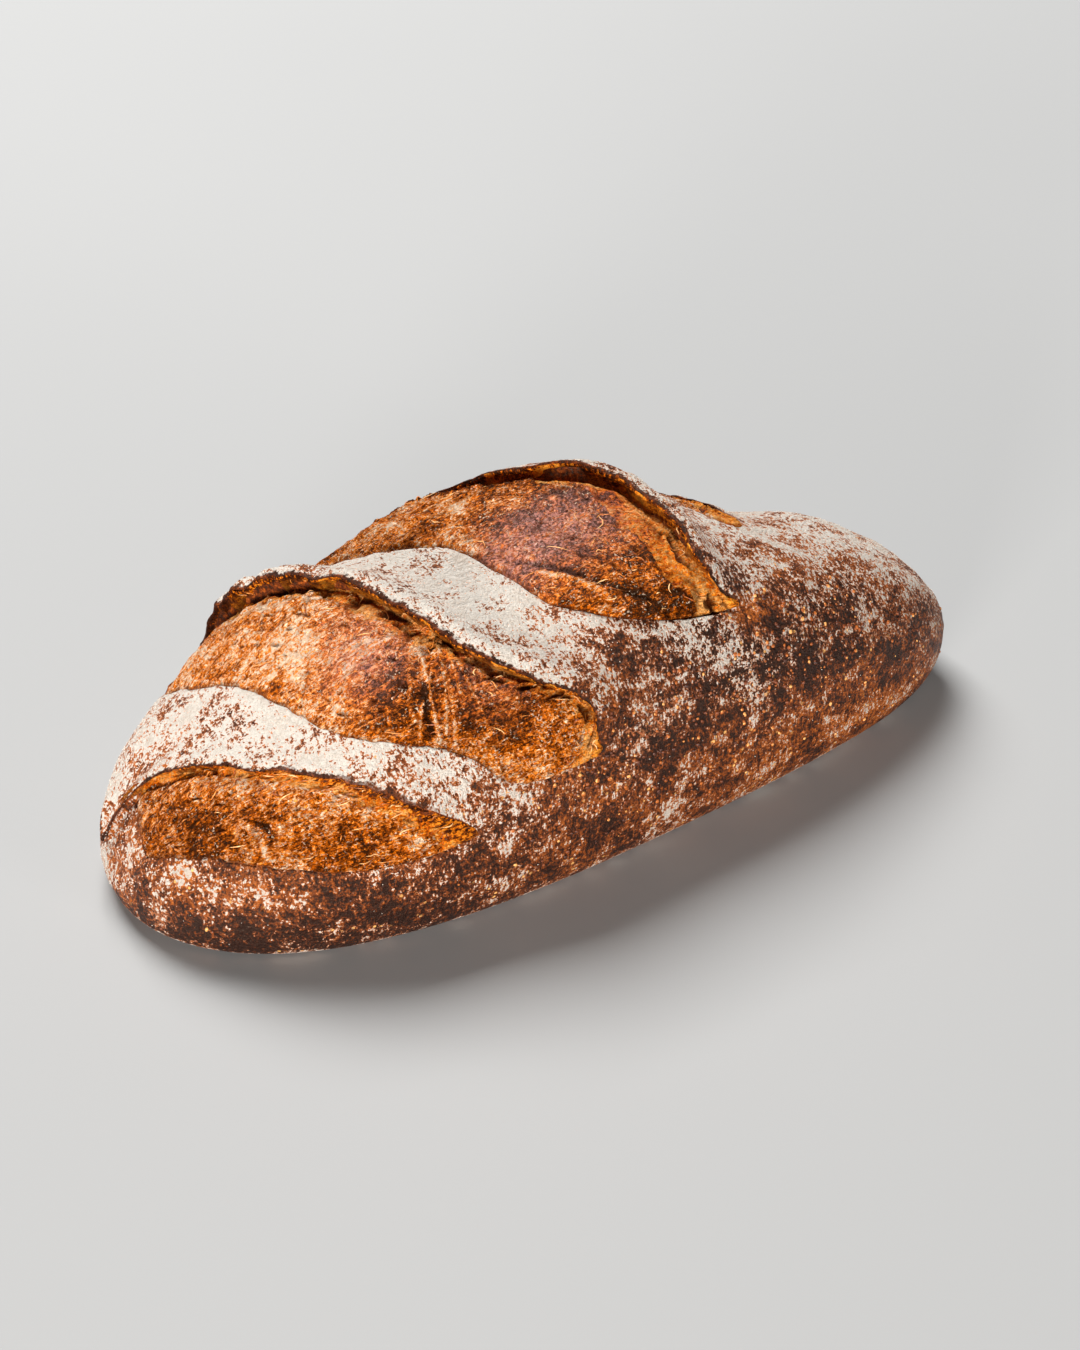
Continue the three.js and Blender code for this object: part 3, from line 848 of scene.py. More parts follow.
# painted mauve sheen on the browned crumb, in soft patches as for the toasting
PAINTED_SHEEN_PATCHES = [
    [],
    [(1, -80, -0.12, 15, 0.12), (0.5, -45, -0.36, 12, 0.14)],
    [(1.3, 2, -0.02, 26, 0.11), (0.6, -20, -0.06, 12, 0.1)],
    [],
]


def toasting(pad, index):
    """How dark the bare crumb baked, from 0, pale gold, to 1, dark brown."""
    x, g, foot = pad["x"], pad["g"], pad["foot"]
    tone = TOAST[index] + 0.16 * smooth_step(foot, 3, 26)
    tone = tone + 0.26 * layered_noise(pad["base"], 16, 80 + index, 2)
    tone = tone - (0.1 if index == 0 else 0.26) * np.exp(-((foot - 1) / 8.0) ** 2)
    # partly painted light: the crumb between the ear and its browned skin is lighter, as it baked paler there
    # and as painted light where the ear's shade falls
    tone = tone - 0.18 * (1 - pad["skin"]) + patches(x, g, TOAST_PATCHES[index])
    roast = WALL_ROAST[index]
    if index == CLEFT_SLASH:
        roast = roast + 0.75 * smooth_step(g, 0.36, 0.52)
    if index == CREASE_SLASH:
        # the third slash's sheltered crumb is lightened more, with painted light where its ear's shade falls
        tone = tone + 0.8 * pad["rim"] - 0.3 * smooth_step(g, 0.1, 0.3) - 0.32 * (1 - pad["skin"])
        tone = tone + 0.5 * pad["skin"] * patch(x, g, 14, 0.05, 15, 0.035)
    ragged_rim = pad["from_lip"] + 3 * layered_noise(pad["weave"], (5, 400, 1), 86 + index)
    rim_width = 2.6 if index == CLEFT_SLASH else 3.4
    near_lip = smooth_step(-ragged_rim, -rim_width, -0.45 * rim_width) * smooth_step(pad["cut"]["ear"], 3, 6)
    roast = np.maximum(roast, 0.55 * near_lip)
    return np.clip(mix(tone, roast, smooth_step(-foot, 0, 3)), 0, 1)


for k, pad in enumerate(pads):
    pad["toast"] = toasting(pad, k)
    pad["painted_sheen"] = patches(pad["x"], pad["g"], PAINTED_SHEEN_PATCHES[k]) + 0 * pad["x"]
print("mean toasting of each pad:", [float(pad["toast"].mean().round(2)) for pad in pads])

# %% [markdown]
# A pad so far is an open sheet, and an open sheet has no inside. A coarse inner side closes each pad: two
# long faces meet in one line of points, three millimetres under the groove.

# %% Close the pads
PAD_DEEP = 3.0


def close_pad(index, pad):
    """The pad as a closed piece: its fine outer side, two long inner faces and its two tips."""
    points = pad["points"]
    rows, columns = points.shape[:2]
    inner = pad["base"][pad["floor_row"]] - grid_normals(pad["base"])[pad["floor_row"]] * PAD_DEEP
    everything = np.concatenate([points.reshape(-1, 3), inner]) + SHIFT
    at = np.arange(rows * columns).reshape(rows, columns)
    keel = rows * columns + np.arange(columns)
    faces = np.stack([at[:-1, :-1], at[1:, :-1], at[1:, 1:], at[:-1, 1:]], -1).reshape(-1, 4).tolist()
    for j in range(columns - 1):
        faces.append((int(at[0, j]), int(at[0, j + 1]), int(keel[j + 1]), int(keel[j])))
        faces.append((int(at[-1, j]), int(keel[j]), int(keel[j + 1]), int(at[-1, j + 1])))
    for i in range(rows - 1):
        faces.append((int(at[i, 0]), int(keel[0]), int(at[i + 1, 0])))
        faces.append((int(at[i, -1]), int(at[i + 1, -1]), int(keel[-1])))

    measures = {}
    for name in ("depth", "foot", "toast", "pit", "strand", "skin", "painted_sheen", "weave"):
        size = pad[name].shape[2:]
        measures[name] = np.concatenate([pad[name].reshape(-1, *size), np.zeros((columns, *size))])
    return make_mesh(f"crumb_pad_{index + 1}", everything, faces, measures)


pad_objects = [close_pad(k, pad) for k, pad in enumerate(pads)]
print("pad faces:", [len(piece.data.polygons) for piece in pad_objects])

# %% [markdown]
# Three kinds of small thing stand on the loaf. Steam raised blisters on the dark near wall, the sieve
# left grains of flour on the top, and the tear left thin arcs of dried crumb near the ears. They could be
# strewn by hand or by a particle system. Here numpy chooses the places, each kind from its own seed, so
# that they thicken where the flour, the scorch or the tear is, and the places are kept as bare points
# that carry a direction, a size and a tone. Geometry Nodes grow the small things from them further on.

# %% Places of the blisters and grains
BLISTERS = 900
GRAINS = 5200


def chosen_places(points, weight, count, seed):
    """Random grid points, likelier where the weight is high, each pushed a little way into its cell."""
    random = np.random.default_rng(seed)
    along, across = np.gradient(points, axis=0), np.gradient(points, axis=1)
    chance = (np.linalg.norm(np.cross(along, across), axis=-1) * weight).ravel()
    index = random.choice(chance.size, count, p=chance / chance.sum())
    push = random.uniform(-0.5, 0.5, (2, count, 1))
    places = points.reshape(-1, 3)[index] + along.reshape(-1, 3)[index] * push[0]
    return places + across.reshape(-1, 3)[index] * push[1], index, random


def turned_axis(outward, random):
    """A direction square to each outward one, turned by a random angle."""
    helper = np.where(np.abs(outward[:, 2:]) < 0.9, [[0, 0, 1]], [[1, 0, 0]])
    first = np.cross(outward, helper)
    first = first / np.linalg.norm(first, axis=1, keepdims=True)
    second = np.cross(outward, first)
    angle = random.uniform(0, 2 * np.pi, (len(outward), 1))
    return first * np.cos(angle) + second * np.sin(angle)


crust_normals = grid_normals(crust_points)
bare_crust = (crumb_mm < -1.5) * (np.abs(g_grid) < 1.12)
near_wall = patches(x_grid, g_grid, [(1, 75, -0.65, 60, 0.4), (1, -10, -0.8, 60, 0.25)])
on_wall = bare_crust * (floured < 0.5) * (0.08 + near_wall)
blister_places, index, random = chosen_places(crust_points, on_wall, BLISTERS, 3)
outward = crust_normals.reshape(-1, 3)[index]
across = turned_axis(outward, random)
radius = random.uniform(0.35, 0.85, (BLISTERS, 1)) * random.uniform(0.8, 1.25, (BLISTERS, 2))
blisters = make_mesh(
    "crust_blisters", blister_places + SHIFT, [],
    dict(
        outward=outward, across=across, size=np.hstack([radius, 0.6 * radius[:, :1]]),
        tone=random.uniform(0, 1, BLISTERS),
    ),
)

floury = bare_crust * (0.04 + smooth_step(floured, 0.25, 0.8))
grain_places, index, random = chosen_places(crust_points, floury, GRAINS, 4)
outward = crust_normals.reshape(-1, 3)[index]
grain_sizes = random.uniform(0.12, 0.3, (GRAINS, 3))
grains = make_mesh(
    "flour_grains", grain_places + outward * 0.08 + SHIFT, [],
    dict(outward=outward, across=turned_axis(outward, random), size=grain_sizes),
)
print("blisters", BLISTERS, "grains", GRAINS)

# %% [markdown]
# A dried strand follows the crumb and bows a little off it. Each one starts near the foot of an ear,
# runs mostly across the slash, and is kept as a chain of points on the pad's own grid.

# %% Paths of the dried strands
STRANDS = 420
STRAND_STEPS = 8


def between(values, rows_at, columns_at):
    """Values of a grid at fractional rows and columns."""
    rows_at = np.clip(rows_at, 0, values.shape[0] - 1.001)
    columns_at = np.clip(columns_at, 0, values.shape[1] - 1.001)
    i = rows_at.astype(int)
    j = columns_at.astype(int)
    a = (rows_at - i)[:, None]
    b = (columns_at - j)[:, None]
    return mix(mix(values[i, j], values[i + 1, j], a), mix(values[i, j + 1], values[i + 1, j + 1], a), b)


random = np.random.default_rng(8)
strand_points = []
strand_edges = []
strand_thick = []
strand_tone = []
for number in range(STRANDS):
    pad = pads[random.choice(3, p=[0.2, 0.45, 0.35])]
    while True:
        i = random.integers(4, pad["foot"].shape[0] - 8)
        j = random.integers(6, pad["foot"].shape[1] - 6)
        nearness = math.exp(-max(pad["foot"][i, j], 0) / 9) + 0.12
        if pad["depth"][i, j] > 2.5 and pad["foot"][i, j] > -5 and random.random() < nearness:
            break
    length = random.uniform(2, 6) / PAD_STEP
    heading = random.normal(0, 0.6)
    t = np.linspace(0, 1, STRAND_STEPS)
    bow = random.uniform(-0.25, 0.25) * length * np.sin(np.pi * t)
    rows_at = i + length * math.cos(heading) * t - bow * math.sin(heading)
    columns_at = j + length * math.sin(heading) * t + bow * math.cos(heading)
    lift = 0.05 + random.uniform(0.1, 0.5) * np.sin(np.pi * t)
    outwards = between(grid_normals(pad["base"]), rows_at, columns_at)
    strand_points.append(between(pad["points"], rows_at, columns_at) + outwards * lift[:, None])
    strand_thick.append(random.uniform(0.12, 0.26) * (0.25 + 0.75 * np.sin(np.pi * t)))
    first = number * STRAND_STEPS
    strand_edges += [(first + k, first + k + 1) for k in range(STRAND_STEPS - 1)]
    strand_tone.append(np.full(STRAND_STEPS, random.random()))
strands = make_mesh(
    "crumb_strands", np.concatenate(strand_points) + SHIFT, [],
    dict(thick=np.concatenate(strand_thick), tone=np.concatenate(strand_tone)), edges=strand_edges,
)
print("strands", STRANDS)

# %% [markdown]
# A finish is a small tree of shader nodes. These helpers keep each tree readable: every pattern size is
# in mm, because the position is multiplied by a thousand before any noise reads it.

# %% Helpers for finishes
class Finish:
    """A new material, with short ways to add nodes to it."""

    def __init__(self, name):
        self.material = bpy.data.materials.new(name)
        self.material.use_nodes = True
        self.nodes = self.material.node_tree.nodes
        self.links = self.material.node_tree.links
        self.shader = self.nodes["Principled BSDF"]
        self.millimetres = self.vector("SCALE", self.add("ShaderNodeTexCoord").outputs["Object"], scale=1000)

    def add(self, kind, **settings):
        node = self.nodes.new(kind)
        for key, value in settings.items():
            setattr(node, key, value)
        return node

    def put(self, socket, value):
        if isinstance(value, bpy.types.NodeSocket):
            self.links.new(value, socket)
        else:
            socket.default_value = value

    def vector(self, operation, a, b=None, scale=None):
        node = self.add("ShaderNodeVectorMath", operation=operation)
        self.put(node.inputs[0], a)
        if b is not None:
            self.put(node.inputs[1], b)
        if scale is not None:
            node.inputs["Scale"].default_value = scale
        return node.outputs[0]

    def attribute(self, name, output="Fac"):
        return self.add("ShaderNodeAttribute", attribute_name=name).outputs[output]

    def noise(self, size_mm, detail=3.0, roughness=0.55, at=None, warp=0.0):
        """Noise between 0 and 1 with lumps about size_mm wide; three sizes stretch it."""
        node = self.add("ShaderNodeTexNoise")
        place = self.millimetres if at is None else at
        if isinstance(size_mm, tuple):
            place = self.vector("DIVIDE", place, size_mm)
            size_mm = 1.0
        self.put(node.inputs["Vector"], place)
        node.inputs["Scale"].default_value = 1 / size_mm
        node.inputs["Detail"].default_value = detail
        node.inputs["Roughness"].default_value = roughness
        node.inputs["Distortion"].default_value = warp
        return node.outputs["Fac"]

    def swing(self, size_mm, detail=3.0, roughness=0.55, at=None, warp=0.0):
        """The same noise swinging round 0, mostly between -0.2 and 0.2."""
        return self.math("SUBTRACT", self.noise(size_mm, detail, roughness, at, warp), 0.5)

    def crisp(self, size_mm, detail=2.0, at=None, warp=0.0, soft=0.07):
        """Noise pushed almost to two levels, -0.5 and 0.5, so that small marks keep their contrast."""
        noise = self.noise(size_mm, detail, 0.6, at, warp)
        return self.step(noise, 0.5 - soft, 0.5 + soft, -0.5, 0.5)

    def warped(self, amount_mm, size_mm, at=None):
        """The position pushed about by coloured noise, so that cells and streaks stop being straight."""
        place = self.millimetres if at is None else at
        node = self.add("ShaderNodeTexNoise")
        self.put(node.inputs["Vector"], place)
        node.inputs["Scale"].default_value = 1 / size_mm
        node.inputs["Detail"].default_value = 2
        push = self.vector("SUBTRACT", node.outputs["Color"], (0.5, 0.5, 0.5))
        return self.vector("ADD", place, self.vector("SCALE", push, scale=2 * amount_mm))

    def cells(self, size_mm, feature="F1", at=None):
        node = self.add("ShaderNodeTexVoronoi", feature=feature)
        self.put(node.inputs["Vector"], self.millimetres if at is None else at)
        node.inputs["Scale"].default_value = 1 / size_mm
        return node.outputs["Distance"]

    def math(self, operation, a, b=0.0, clamp=False):
        node = self.add("ShaderNodeMath", operation=operation, use_clamp=clamp)
        self.put(node.inputs[0], a)
        self.put(node.inputs[1], b)
        return node.outputs[0]

    def sum(self, *terms):
        """Adds up (value, weight) pairs and plain numbers."""
        total = 0.0
        for term in terms:
            part = self.math("MULTIPLY", *term) if isinstance(term, tuple) else term
            total = self.math("ADD", total, part)
        return total

    def step(self, value, low, high, start=0.0, end=1.0):
        node = self.add("ShaderNodeMapRange", interpolation_type="SMOOTHSTEP")
        for socket, number in zip(node.inputs[:5], (value, low, high, start, end)):
            self.put(socket, number)
        return node.outputs[0]

    def colour(self, share, first, second, blend="MIX"):
        node = self.add("ShaderNodeMix", data_type="RGBA", blend_type=blend)
        self.put(node.inputs["Factor"], share)
        for socket, value in ((node.inputs[6], first), (node.inputs[7], second)):
            self.put(socket, value if isinstance(value, bpy.types.NodeSocket) else (*value, 1))
        return node.outputs[2]

    def ramp(self, value, stops):
        node = self.add("ShaderNodeValToRGB")
        elements = node.color_ramp.elements
        while len(elements) < len(stops):
            elements.new(0.5)
        for element, (place, shade) in zip(elements, stops):
            element.position = place
            element.color = (*shade, 1)
        self.put(node.inputs[0], value)
        return node.outputs["Color"]

    def bump(self, height, distance_mm):
        node = self.add("ShaderNodeBump")
        node.inputs["Distance"].default_value = distance_mm / 1000
        self.put(node.inputs["Height"], height)
        return node.outputs[0]

    def surface(self, **values):
        """Sets or links the shader's own sockets by name, such as Base_Color."""
        for name, value in values.items():
            self.put(self.shader.inputs[name.replace("_", " ")], value)


def seen(red, green, blue):
    """A colour as seen on a screen, 0 to 255, as the light values that a shader wants."""
    def linear(value):
        share = value / 255
        return share / 12.92 if share <= 0.04045 else ((share + 0.055) / 1.055) ** 2.4
    return linear(red), linear(green), linear(blue)


print("flour white as light:", [round(v, 3) for v in seen(240, 234, 222)])

# %% [markdown]
# The crust's finish has four layers: a brown that runs from near-black and burgundy to orange-brown, a
# thin film where flour soaked in, thick flour that is creamy with darker patches of painted shade, and the
# charred lip of each ear. Flour lies where the flour measure and the noise together pass a threshold, which
# gives the ragged edges of real flour, and at the left end it is cracked into small cells.

# %% Finish of the crust
CHARRED = seen(38, 17, 11)
BURGUNDY = seen(66, 31, 18)
RED_BROWN = seen(126, 60, 20)
ORANGE_BROWN = seen(190, 102, 32)
DROPLET_GOLD = seen(240, 178, 104)
PINK_FILM = seen(178, 110, 72)
THIN_FLOUR = seen(220, 144, 94)
CREAM = seen(210, 203, 194)
SHADED_CREAM = seen(172, 150, 132)


def crust_finish():
    look = Finish("floured_crust")
    skin = look.attribute("skin", "Vector")
    flour = look.attribute("flour")
    dark = look.attribute("scorch")
    film = look.attribute("film")
    crumb = look.attribute("crumb_mm")
    lip = look.attribute("lip_mm")
    ear = look.attribute("ear_mm")
    speck = look.crisp(1.7, 3, soft=0.1)
    grain = look.crisp(0.8, 2, soft=0.1)
    mottle = look.crisp(4.2, 4, soft=0.16)
    blotch = look.swing(12, 4, 0.6)
    cloud = look.swing(34, 3, 0.5)
    streak = look.crisp((1.1, 3.6, 1), 3, at=skin, soft=0.1)
    pimple = look.step(look.cells(2.2, at=look.warped(0.8, 2.2)), 0.75, 0.1)

    tone = look.sum(
        0.44, (speck, 0.28), (mottle, 0.26), (blotch, 2.0), (grain, 0.28), (streak, 0.20), (pimple, 0.14),
        (dark, -0.50), (flour, 0.55),
    )
    brown = look.ramp(tone, [(0.04, CHARRED), (0.24, BURGUNDY), (0.48, RED_BROWN), (0.84, ORANGE_BROWN)])
    drops = look.step(look.cells(3.6), 0.22, 0.15)
    some_drops = look.math("MULTIPLY", drops, look.step(look.swing(12, 2, 0.5), 0.02, 0.1))
    brown = look.colour(some_drops, brown, DROPLET_GOLD)
    filmy = look.sum(film, (cloud, 1.4), (blotch, 2.2), (grain, 0.2), (speck, 0.2))
    brown = look.colour(look.step(filmy, 0.45, 0.66, 0, 0.65), brown, PINK_FILM)
    crackle = look.step(look.cells(3.6, "DISTANCE_TO_EDGE", at=look.warped(1.2, 3)), 0.16, 0.0)
    thick = look.sum(
        flour, (speck, 0.44), (mottle, 0.38), (blotch, 2.6), (cloud, 0.8), (streak, 0.42), (grain, 0.42),
        (look.math("MULTIPLY", crackle, look.attribute("crackle")), -0.5),
    )
    cover = look.step(thick, 0.40, 0.60)
    # darker cream in patches laid by noise: painted shade of the flour's clumps
    cream_shade = look.step(look.sum((blotch, 1.0), (grain, 0.12), (speck, 0.12)), 0.0, 0.3, 0, 0.55)
    white = look.colour(look.step(thick, 0.50, 0.74), THIN_FLOUR, look.colour(cream_shade, CREAM, SHADED_CREAM))
    crust = look.colour(cover, brown, white)
    ragged_lip = look.sum(lip, (speck, 1.2), 0.2)
    on_lip = look.math("MULTIPLY", look.step(ragged_lip, 2.8, 1.6), look.step(ear, 0.8, 2.5))
    rim_tone = look.sum(0.4, (speck, 0.3), (mottle, 0.25), (grain, 0.2))
    lip_brown = look.ramp(rim_tone, [(0.15, CHARRED), (0.5, seen(84, 38, 18)), (0.9, seen(170, 84, 30))])
    crust = look.colour(on_lip, crust, lip_brown)
    bare = look.ramp(rim_tone, [(0.1, seen(50, 22, 10)), (0.5, seen(118, 52, 16)), (0.9, seen(206, 106, 34))])
    height = look.sum((cover, 0.25), (speck, 0.3), (grain, 0.4), (mottle, 0.15), (pimple, 0.4))
    look.surface(
        Base_Color=look.colour(look.step(crumb, 0.1, 0.5), crust, bare),
        Roughness=look.step(cover, 0, 1, 0.45, 0.95),
        Normal=look.bump(height, 0.6),
        Specular_IOR_Level=0.3,
        Specular_Tint=(1, 0.8, 0.62, 1),
    )
    return look.material


loaf.data.materials.append(crust_finish())
print("crust finish nodes:", len(loaf.data.materials[0].node_tree.nodes))

# %% [markdown]
# Bare crumb browned in the oven's heat: pale gold in the shelter of the ear, orange on the shoulders and
# dark brown where it stood proud. Fibres, mottling and fine specks all change quickly, so the ramps read
# several noises of different sizes at once. There are three ramps: brown for the browned skin, whose palest
# end is partly painted highlight, gold for the sheltered crumb between the skin and the ear, and one more
# for the ear's torn wall. Painted highlights as tiny pale spots, a painted mauve sheen, pores and creases
# darkened with painted shade, and a darker rim, partly the crumb's own browner edge and partly painted
# shade under the crust's edge, come on top.

# %% Finish of the torn crumb
def crumb_finish():
    look = Finish("torn_crumb")
    weave = look.attribute("weave", "Vector")
    toast = look.attribute("toast")
    foot = look.attribute("foot")
    inside = look.attribute("depth")
    skin = look.attribute("skin")
    strand = look.attribute("strand")
    fibre = look.crisp((1.1, 3.4, 1), 3, at=weave, warp=0.8, soft=0.1)
    mottle = look.crisp(3.2, 4, soft=0.14)
    fine = look.crisp(1.1, 2, soft=0.08)
    blotch = look.swing(9, 3, 0.6)
    ridge = look.math("ABSOLUTE", look.swing((2.2, 5.0, 1), 2, 0.5, at=weave, warp=1.0))
    thread = look.step(ridge, 0.030, 0.006)
    crossing = look.math("ABSOLUTE", look.swing(3.4, 2, 0.5, warp=0.8))
    crease = look.step(crossing, 0.028, 0.0)
    # the creases are darkened with painted shade; the strand measure lightens light strands and darkens the
    # ridges' creases with painted shade
    tone = look.sum(
        0.86, (fibre, 0.28), (mottle, 0.32), (fine, 0.32), (blotch, 1.5), (toast, -0.66), (thread, 0.40),
        (crease, -0.26), (strand, 0.5),
    )
    # the palest stop, near cream, is partly painted highlight where the noises peak
    brown = look.ramp(tone, [
        (0.00, seen(56, 24, 4)), (0.20, seen(104, 45, 2)), (0.42, seen(172, 77, 0)),
        (0.62, seen(236, 119, 12)), (0.84, seen(250, 162, 76)), (1.00, seen(255, 220, 188)),
    ])
    gold = look.ramp(tone, [
        (0.00, seen(58, 24, 8)), (0.22, seen(146, 58, 4)), (0.40, seen(248, 110, 6)),
        (0.72, seen(255, 142, 28)), (1.00, seen(255, 172, 72)),
    ])
    sheltered = look.math("MULTIPLY", look.step(skin, 1.0, 0.0), 0.85)
    crumb = look.colour(sheltered, brown, gold)
    # painted highlight: tiny pale spots stand in for glints of the lamps on the glossy crumb
    painted_glint = look.step(look.noise(0.9, 2, 0.5), 0.60, 0.66)
    some = look.math("MULTIPLY", painted_glint, look.step(look.swing(5, 2, 0.5), -0.04, 0.1))
    some = look.math("MULTIPLY", some, look.step(skin, 0.0, 1.0, 0.3, 1.0))
    crumb = look.colour(look.math("MULTIPLY", some, 0.8), crumb, seen(255, 228, 200))
    # painted sheen: a mauve tint laid where the lamps' sheen shows on the brown skin; it is no real film
    film = look.math("MULTIPLY", look.attribute("painted_sheen"), look.step(fine, -0.5, 0.5, 0.15, 0.55))
    crumb = look.colour(film, crumb, seen(208, 150, 142))
    # painted shade: the pits and pores are darkened as if shade fell into them, on top of their real dents
    crumb = look.colour(look.attribute("pit"), crumb, seen(92, 38, 8))
    wall = look.ramp(look.sum(0.66, (fibre, 0.4), (fine, 0.3), (blotch, 1.2), (toast, -0.9)), [
        (0.00, seen(58, 24, 10)), (0.25, seen(112, 44, 10)),
        (0.46, seen(255, 134, 16)), (0.80, seen(255, 166, 56)),
    ])
    crumb = look.colour(look.step(foot, -1, -5), crumb, wall)
    # a darker rim where the crumb dives under the crust: partly its own browner edge, partly painted shade
    # under the crust's edge
    edge = look.step(look.sum(inside, (mottle, 1.2)), 1.4, 0.1)
    crumb = look.colour(look.math("MULTIPLY", edge, 0.6), crumb, seen(104, 48, 22))
    height = look.sum((fibre, 0.4), (fine, 0.45), (mottle, 0.3), (thread, 0.8), (crease, -0.5))
    look.surface(
        Base_Color=crumb,
        Roughness=look.step(mottle, -0.5, 0.5, 0.42, 0.6),
        Normal=look.bump(height, 1.2),
        Specular_IOR_Level=0.14,
        Specular_Tint=(1, 0.68, 0.4, 1),
    )
    return look.material


crumb_material = crumb_finish()
for pad in pad_objects:
    pad.data.materials.append(crumb_material)
print("crumb finish nodes:", len(crumb_material.node_tree.nodes))

# %% [markdown]
# Now the small things can grow. Geometry Nodes suit them, because one small tree makes any number of
# copies, and its sizes stay open to change. Each tree has named inputs, starts from the points kept
# before, and ends in real geometry with its finish on it, because an export drops mere instances.

# %% Helpers for Geometry Nodes
def growth_tree(name, marks, inputs):
    """A Geometry Nodes tree with a geometry input for the marks, more named inputs and one output."""
    tree = bpy.data.node_groups.new(name, "GeometryNodeTree")
    tree.interface.new_socket(marks, in_out="INPUT", socket_type="NodeSocketGeometry")
    for label, kind in inputs.items():
        tree.interface.new_socket(label, in_out="INPUT", socket_type="NodeSocket" + kind)
    tree.interface.new_socket("Grown", in_out="OUTPUT", socket_type="NodeSocketGeometry")
    return tree, tree.nodes.new("NodeGroupInput").outputs


def add_node(tree, kind, inputs, **settings):
    """A node whose input sockets are linked or set by name; gives its first output."""
    node = tree.nodes.new(kind)
    for key, value in settings.items():
        setattr(node, key, value)
    for label, value in inputs.items():
        if isinstance(value, bpy.types.NodeSocket):
            tree.links.new(value, node.inputs[label])
        else:
            node.inputs[label].default_value = value
    return node.outputs[0]


def carried(tree, name, kind):
    """A value that each mark carries."""
    return add_node(tree, "GeometryNodeInputNamedAttribute", {"Name": name}, data_type=kind)


def end_tree(tree, grown, finish, used):
    """Realizes the instances, drops the values that are used up, and sets smooth shading and the finish."""
    grown = add_node(tree, "GeometryNodeRealizeInstances", {"Geometry": grown})
    for name in used:
        grown = add_node(tree, "GeometryNodeRemoveAttribute", {"Geometry": grown, "Name": name})
    grown = add_node(tree, "GeometryNodeSetShadeSmooth", {"Geometry": grown})
    grown = add_node(tree, "GeometryNodeSetMaterial", {"Geometry": grown, "Material": finish})
    tree.links.new(grown, tree.nodes.new("NodeGroupOutput").inputs[0])


def grow(marks, tree, **sizes):
    """Runs a tree on the marks and keeps what it makes as a plain mesh, without the modifier."""
    modifier = marks.modifiers.new("grow", "NODES")
    modifier.node_group = tree
    for socket in tree.interface.items_tree:
        if socket.in_out == "INPUT" and socket.name in sizes:
            modifier[socket.identifier] = sizes[socket.name]
    made = bpy.data.meshes.new_from_object(marks.evaluated_get(bpy.context.evaluated_depsgraph_get()))
    marks.modifiers.clear()
    marks.data = made
    made.name = marks.name


print("helpers for growing are ready")

# %% [markdown]
# A blister is a low round cushion, half sunk in the crust, and a grain of flour has eight flat sides. Both
# are a sphere with few faces, set on each mark, turned to the skin's outward direction and stretched by
# the size that the mark carries. One tree does for both, with other inputs.

# %% A tree for round things on the skin
MILLIMETRE = 0.001
round_tree, given = growth_tree(
    "round_things", "Places", {"Segments": "Int", "Rings": "Int", "Radius": "Float", "Finish": "Material"}
)
ball = add_node(
    round_tree, "GeometryNodeMeshUVSphere", {name: given[name] for name in ("Segments", "Rings", "Radius")}
)
turned = add_node(
    round_tree, "FunctionNodeAxesToRotation",
    {
        "Primary Axis": carried(round_tree, "outward", "FLOAT_VECTOR"),
        "Secondary Axis": carried(round_tree, "across", "FLOAT_VECTOR"),
    },
    primary_axis="Z", secondary_axis="X",
)
set_out = add_node(
    round_tree, "GeometryNodeInstanceOnPoints",
    {
        "Points": given["Places"], "Instance": ball, "Rotation": turned,
        "Scale": carried(round_tree, "size", "FLOAT_VECTOR"),
    },
)
end_tree(round_tree, set_out, given["Finish"], ("outward", "across", "size"))
print("nodes in the tree for round things:", len(round_tree.nodes))

# %% [markdown]
# A dried strand is a thin bowed tube. Its path is a chain of edges, which becomes a curve, and a small
# circle runs along it, thinner towards the ends by the thickness that each point carries.

# %% A tree for thin strands
strand_tree, given = growth_tree(
    "thin_strands", "Paths", {"Sides": "Int", "Radius": "Float", "Finish": "Material"}
)
tubes = add_node(
    strand_tree, "GeometryNodeCurveToMesh",
    {
        "Curve": add_node(strand_tree, "GeometryNodeMeshToCurve", {"Mesh": given["Paths"]}),
        "Profile Curve": add_node(
            strand_tree, "GeometryNodeCurvePrimitiveCircle",
            {"Resolution": given["Sides"], "Radius": given["Radius"]},
        ),
        "Scale": carried(strand_tree, "thick", "FLOAT"),
        "Fill Caps": True,
    },
)
end_tree(strand_tree, tubes, given["Finish"], ("thick",))
print("nodes in the tree for thin strands:", len(strand_tree.nodes))

# %% [markdown]
# The small things have plain finishes of their own. A blister is anything from burgundy to gold, a grain
# of flour is matte cream, and a dried strand is glossy gold with a browner tip here and there.

# %% Grow the small things in their finishes
def toned_finish(name, stops, roughness):
    look = Finish(name)
    tone = look.sum(look.attribute("tone"), (look.swing(1.5, 2, 0.5), 1.2))
    look.surface(Base_Color=look.ramp(tone, stops), Roughness=roughness)
    return look.material


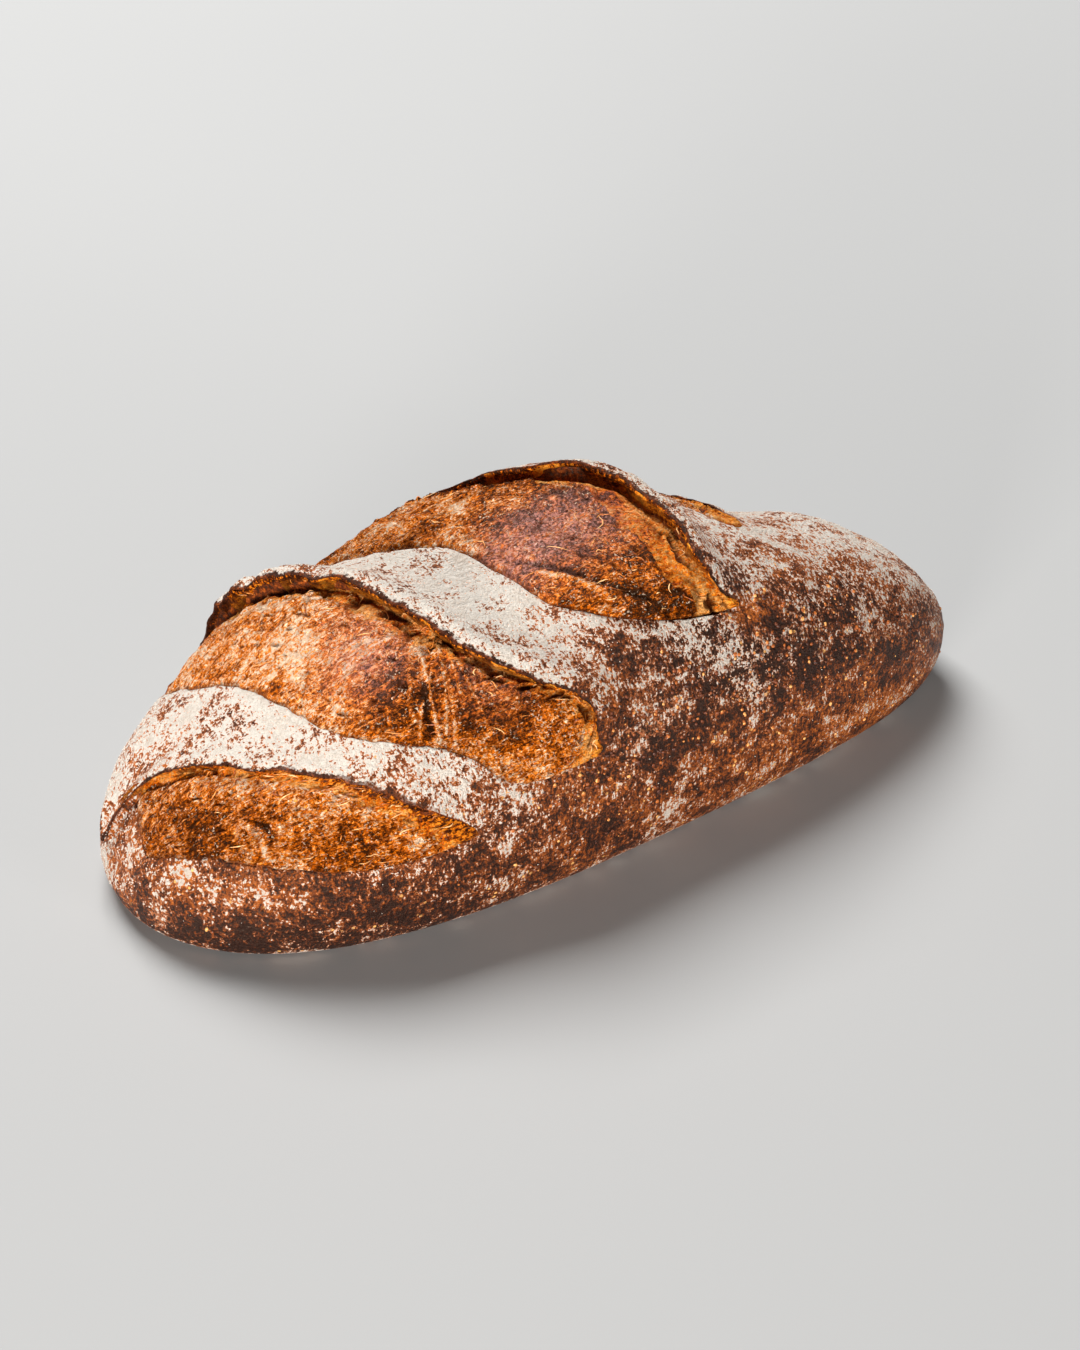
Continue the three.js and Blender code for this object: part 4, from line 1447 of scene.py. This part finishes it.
blister_brown = toned_finish(
    "blister_brown", [(0.1, BURGUNDY), (0.55, RED_BROWN), (0.9, ORANGE_BROWN), (1.0, DROPLET_GOLD)], 0.4
)
strand_gold = toned_finish(
    "strand_gold", [(0.1, seen(150, 70, 20)), (0.5, seen(230, 138, 50)), (1.0, seen(252, 204, 140))], 0.4
)
grain_look = Finish("flour_cream")
grain_look.surface(Base_Color=(*seen(232, 220, 206), 1), Roughness=0.95)
grow(blisters, round_tree, Segments=7, Rings=6, Radius=MILLIMETRE, Finish=blister_brown)
grow(grains, round_tree, Segments=4, Rings=2, Radius=MILLIMETRE, Finish=grain_look.material)
grow(strands, strand_tree, Sides=5, Radius=MILLIMETRE, Finish=strand_gold)
print("faces:", {piece.name: len(piece.data.polygons) for piece in (blisters, grains, strands)})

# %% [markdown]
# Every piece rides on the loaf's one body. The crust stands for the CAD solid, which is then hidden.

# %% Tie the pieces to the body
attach(loaf, "root")
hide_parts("loaf")
for piece, slot in ((blisters, "crust"), (grains, "flour"), (strands, "torn_crumb")):
    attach(piece, "root")
for pad in pad_objects:
    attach(pad, "root")
print("pieces:", 4 + len(pad_objects))

# %% [markdown]
# The loaf lies on a pale grey seamless sheet. One large soft lamp stands high behind it, so the shadow
# falls towards the viewer. Two low lamps, one in front and one on the right, light the loaf's near wall
# and hardly the floor, which keeps the shadow deep. They are slightly warm, and the sky is slightly blue.

# %% Floor and light
DARKER_GREY = (0.408, 0.414, 0.420)
LIGHTER_GREY = (0.426, 0.432, 0.438)
floor_finish = Finish("pale_floor")
floor_finish.surface(
    Base_Color=floor_finish.colour(floor_finish.noise(400, 1, 0.4), DARKER_GREY, LIGHTER_GREY), Roughness=0.9
)
bpy.ops.mesh.primitive_plane_add(size=8)
floor = bpy.context.object
floor.name = "floor"
floor.data.materials.append(floor_finish.material)
floor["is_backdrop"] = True


def soft_lamp(name, azimuth, elevation, distance, size, watts, tint):
    """A square lamp that looks at the loaf, with its distance and size in metres."""
    lamp = bpy.data.lights.new(name, "AREA")
    lamp.size = size
    lamp.energy = watts
    lamp.color = tint
    stand = bpy.data.objects.new(name, lamp)
    stand.location = aim + direction(azimuth, elevation) * distance
    stand.rotation_euler = (stand.location - aim).to_track_quat("Z", "Y").to_euler()
    bpy.context.scene.collection.objects.link(stand)


WARM_WHITE = (1, 0.985, 0.96)
WARM = (1, 0.96, 0.91)
soft_lamp("key", CAMERA_AZIMUTH - 152, 57, distance=3.4, size=1.9, watts=196, tint=WARM_WHITE)
soft_lamp("front", CAMERA_AZIMUTH - 20, 5, distance=1.8, size=0.5, watts=50, tint=WARM)
soft_lamp("right", CAMERA_AZIMUTH + 48, 6, distance=2.0, size=0.5, watts=16, tint=WARM)
world = bpy.data.worlds.new("sky")
world.use_nodes = True
world.node_tree.nodes["Background"].inputs["Color"].default_value = (0.95, 0.97, 1, 1)
world.node_tree.nodes["Background"].inputs["Strength"].default_value = 0.045
bpy.context.scene.world = world
bpy.context.scene.view_settings.view_transform = "Standard"

# %% [markdown]
# Last, the box of the finished loaf is printed, in mm.

# %% Print the size of the loaf
low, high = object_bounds()
print("visual box in mm:", [round(1000 * v, 1) for v in (*low, *high)])
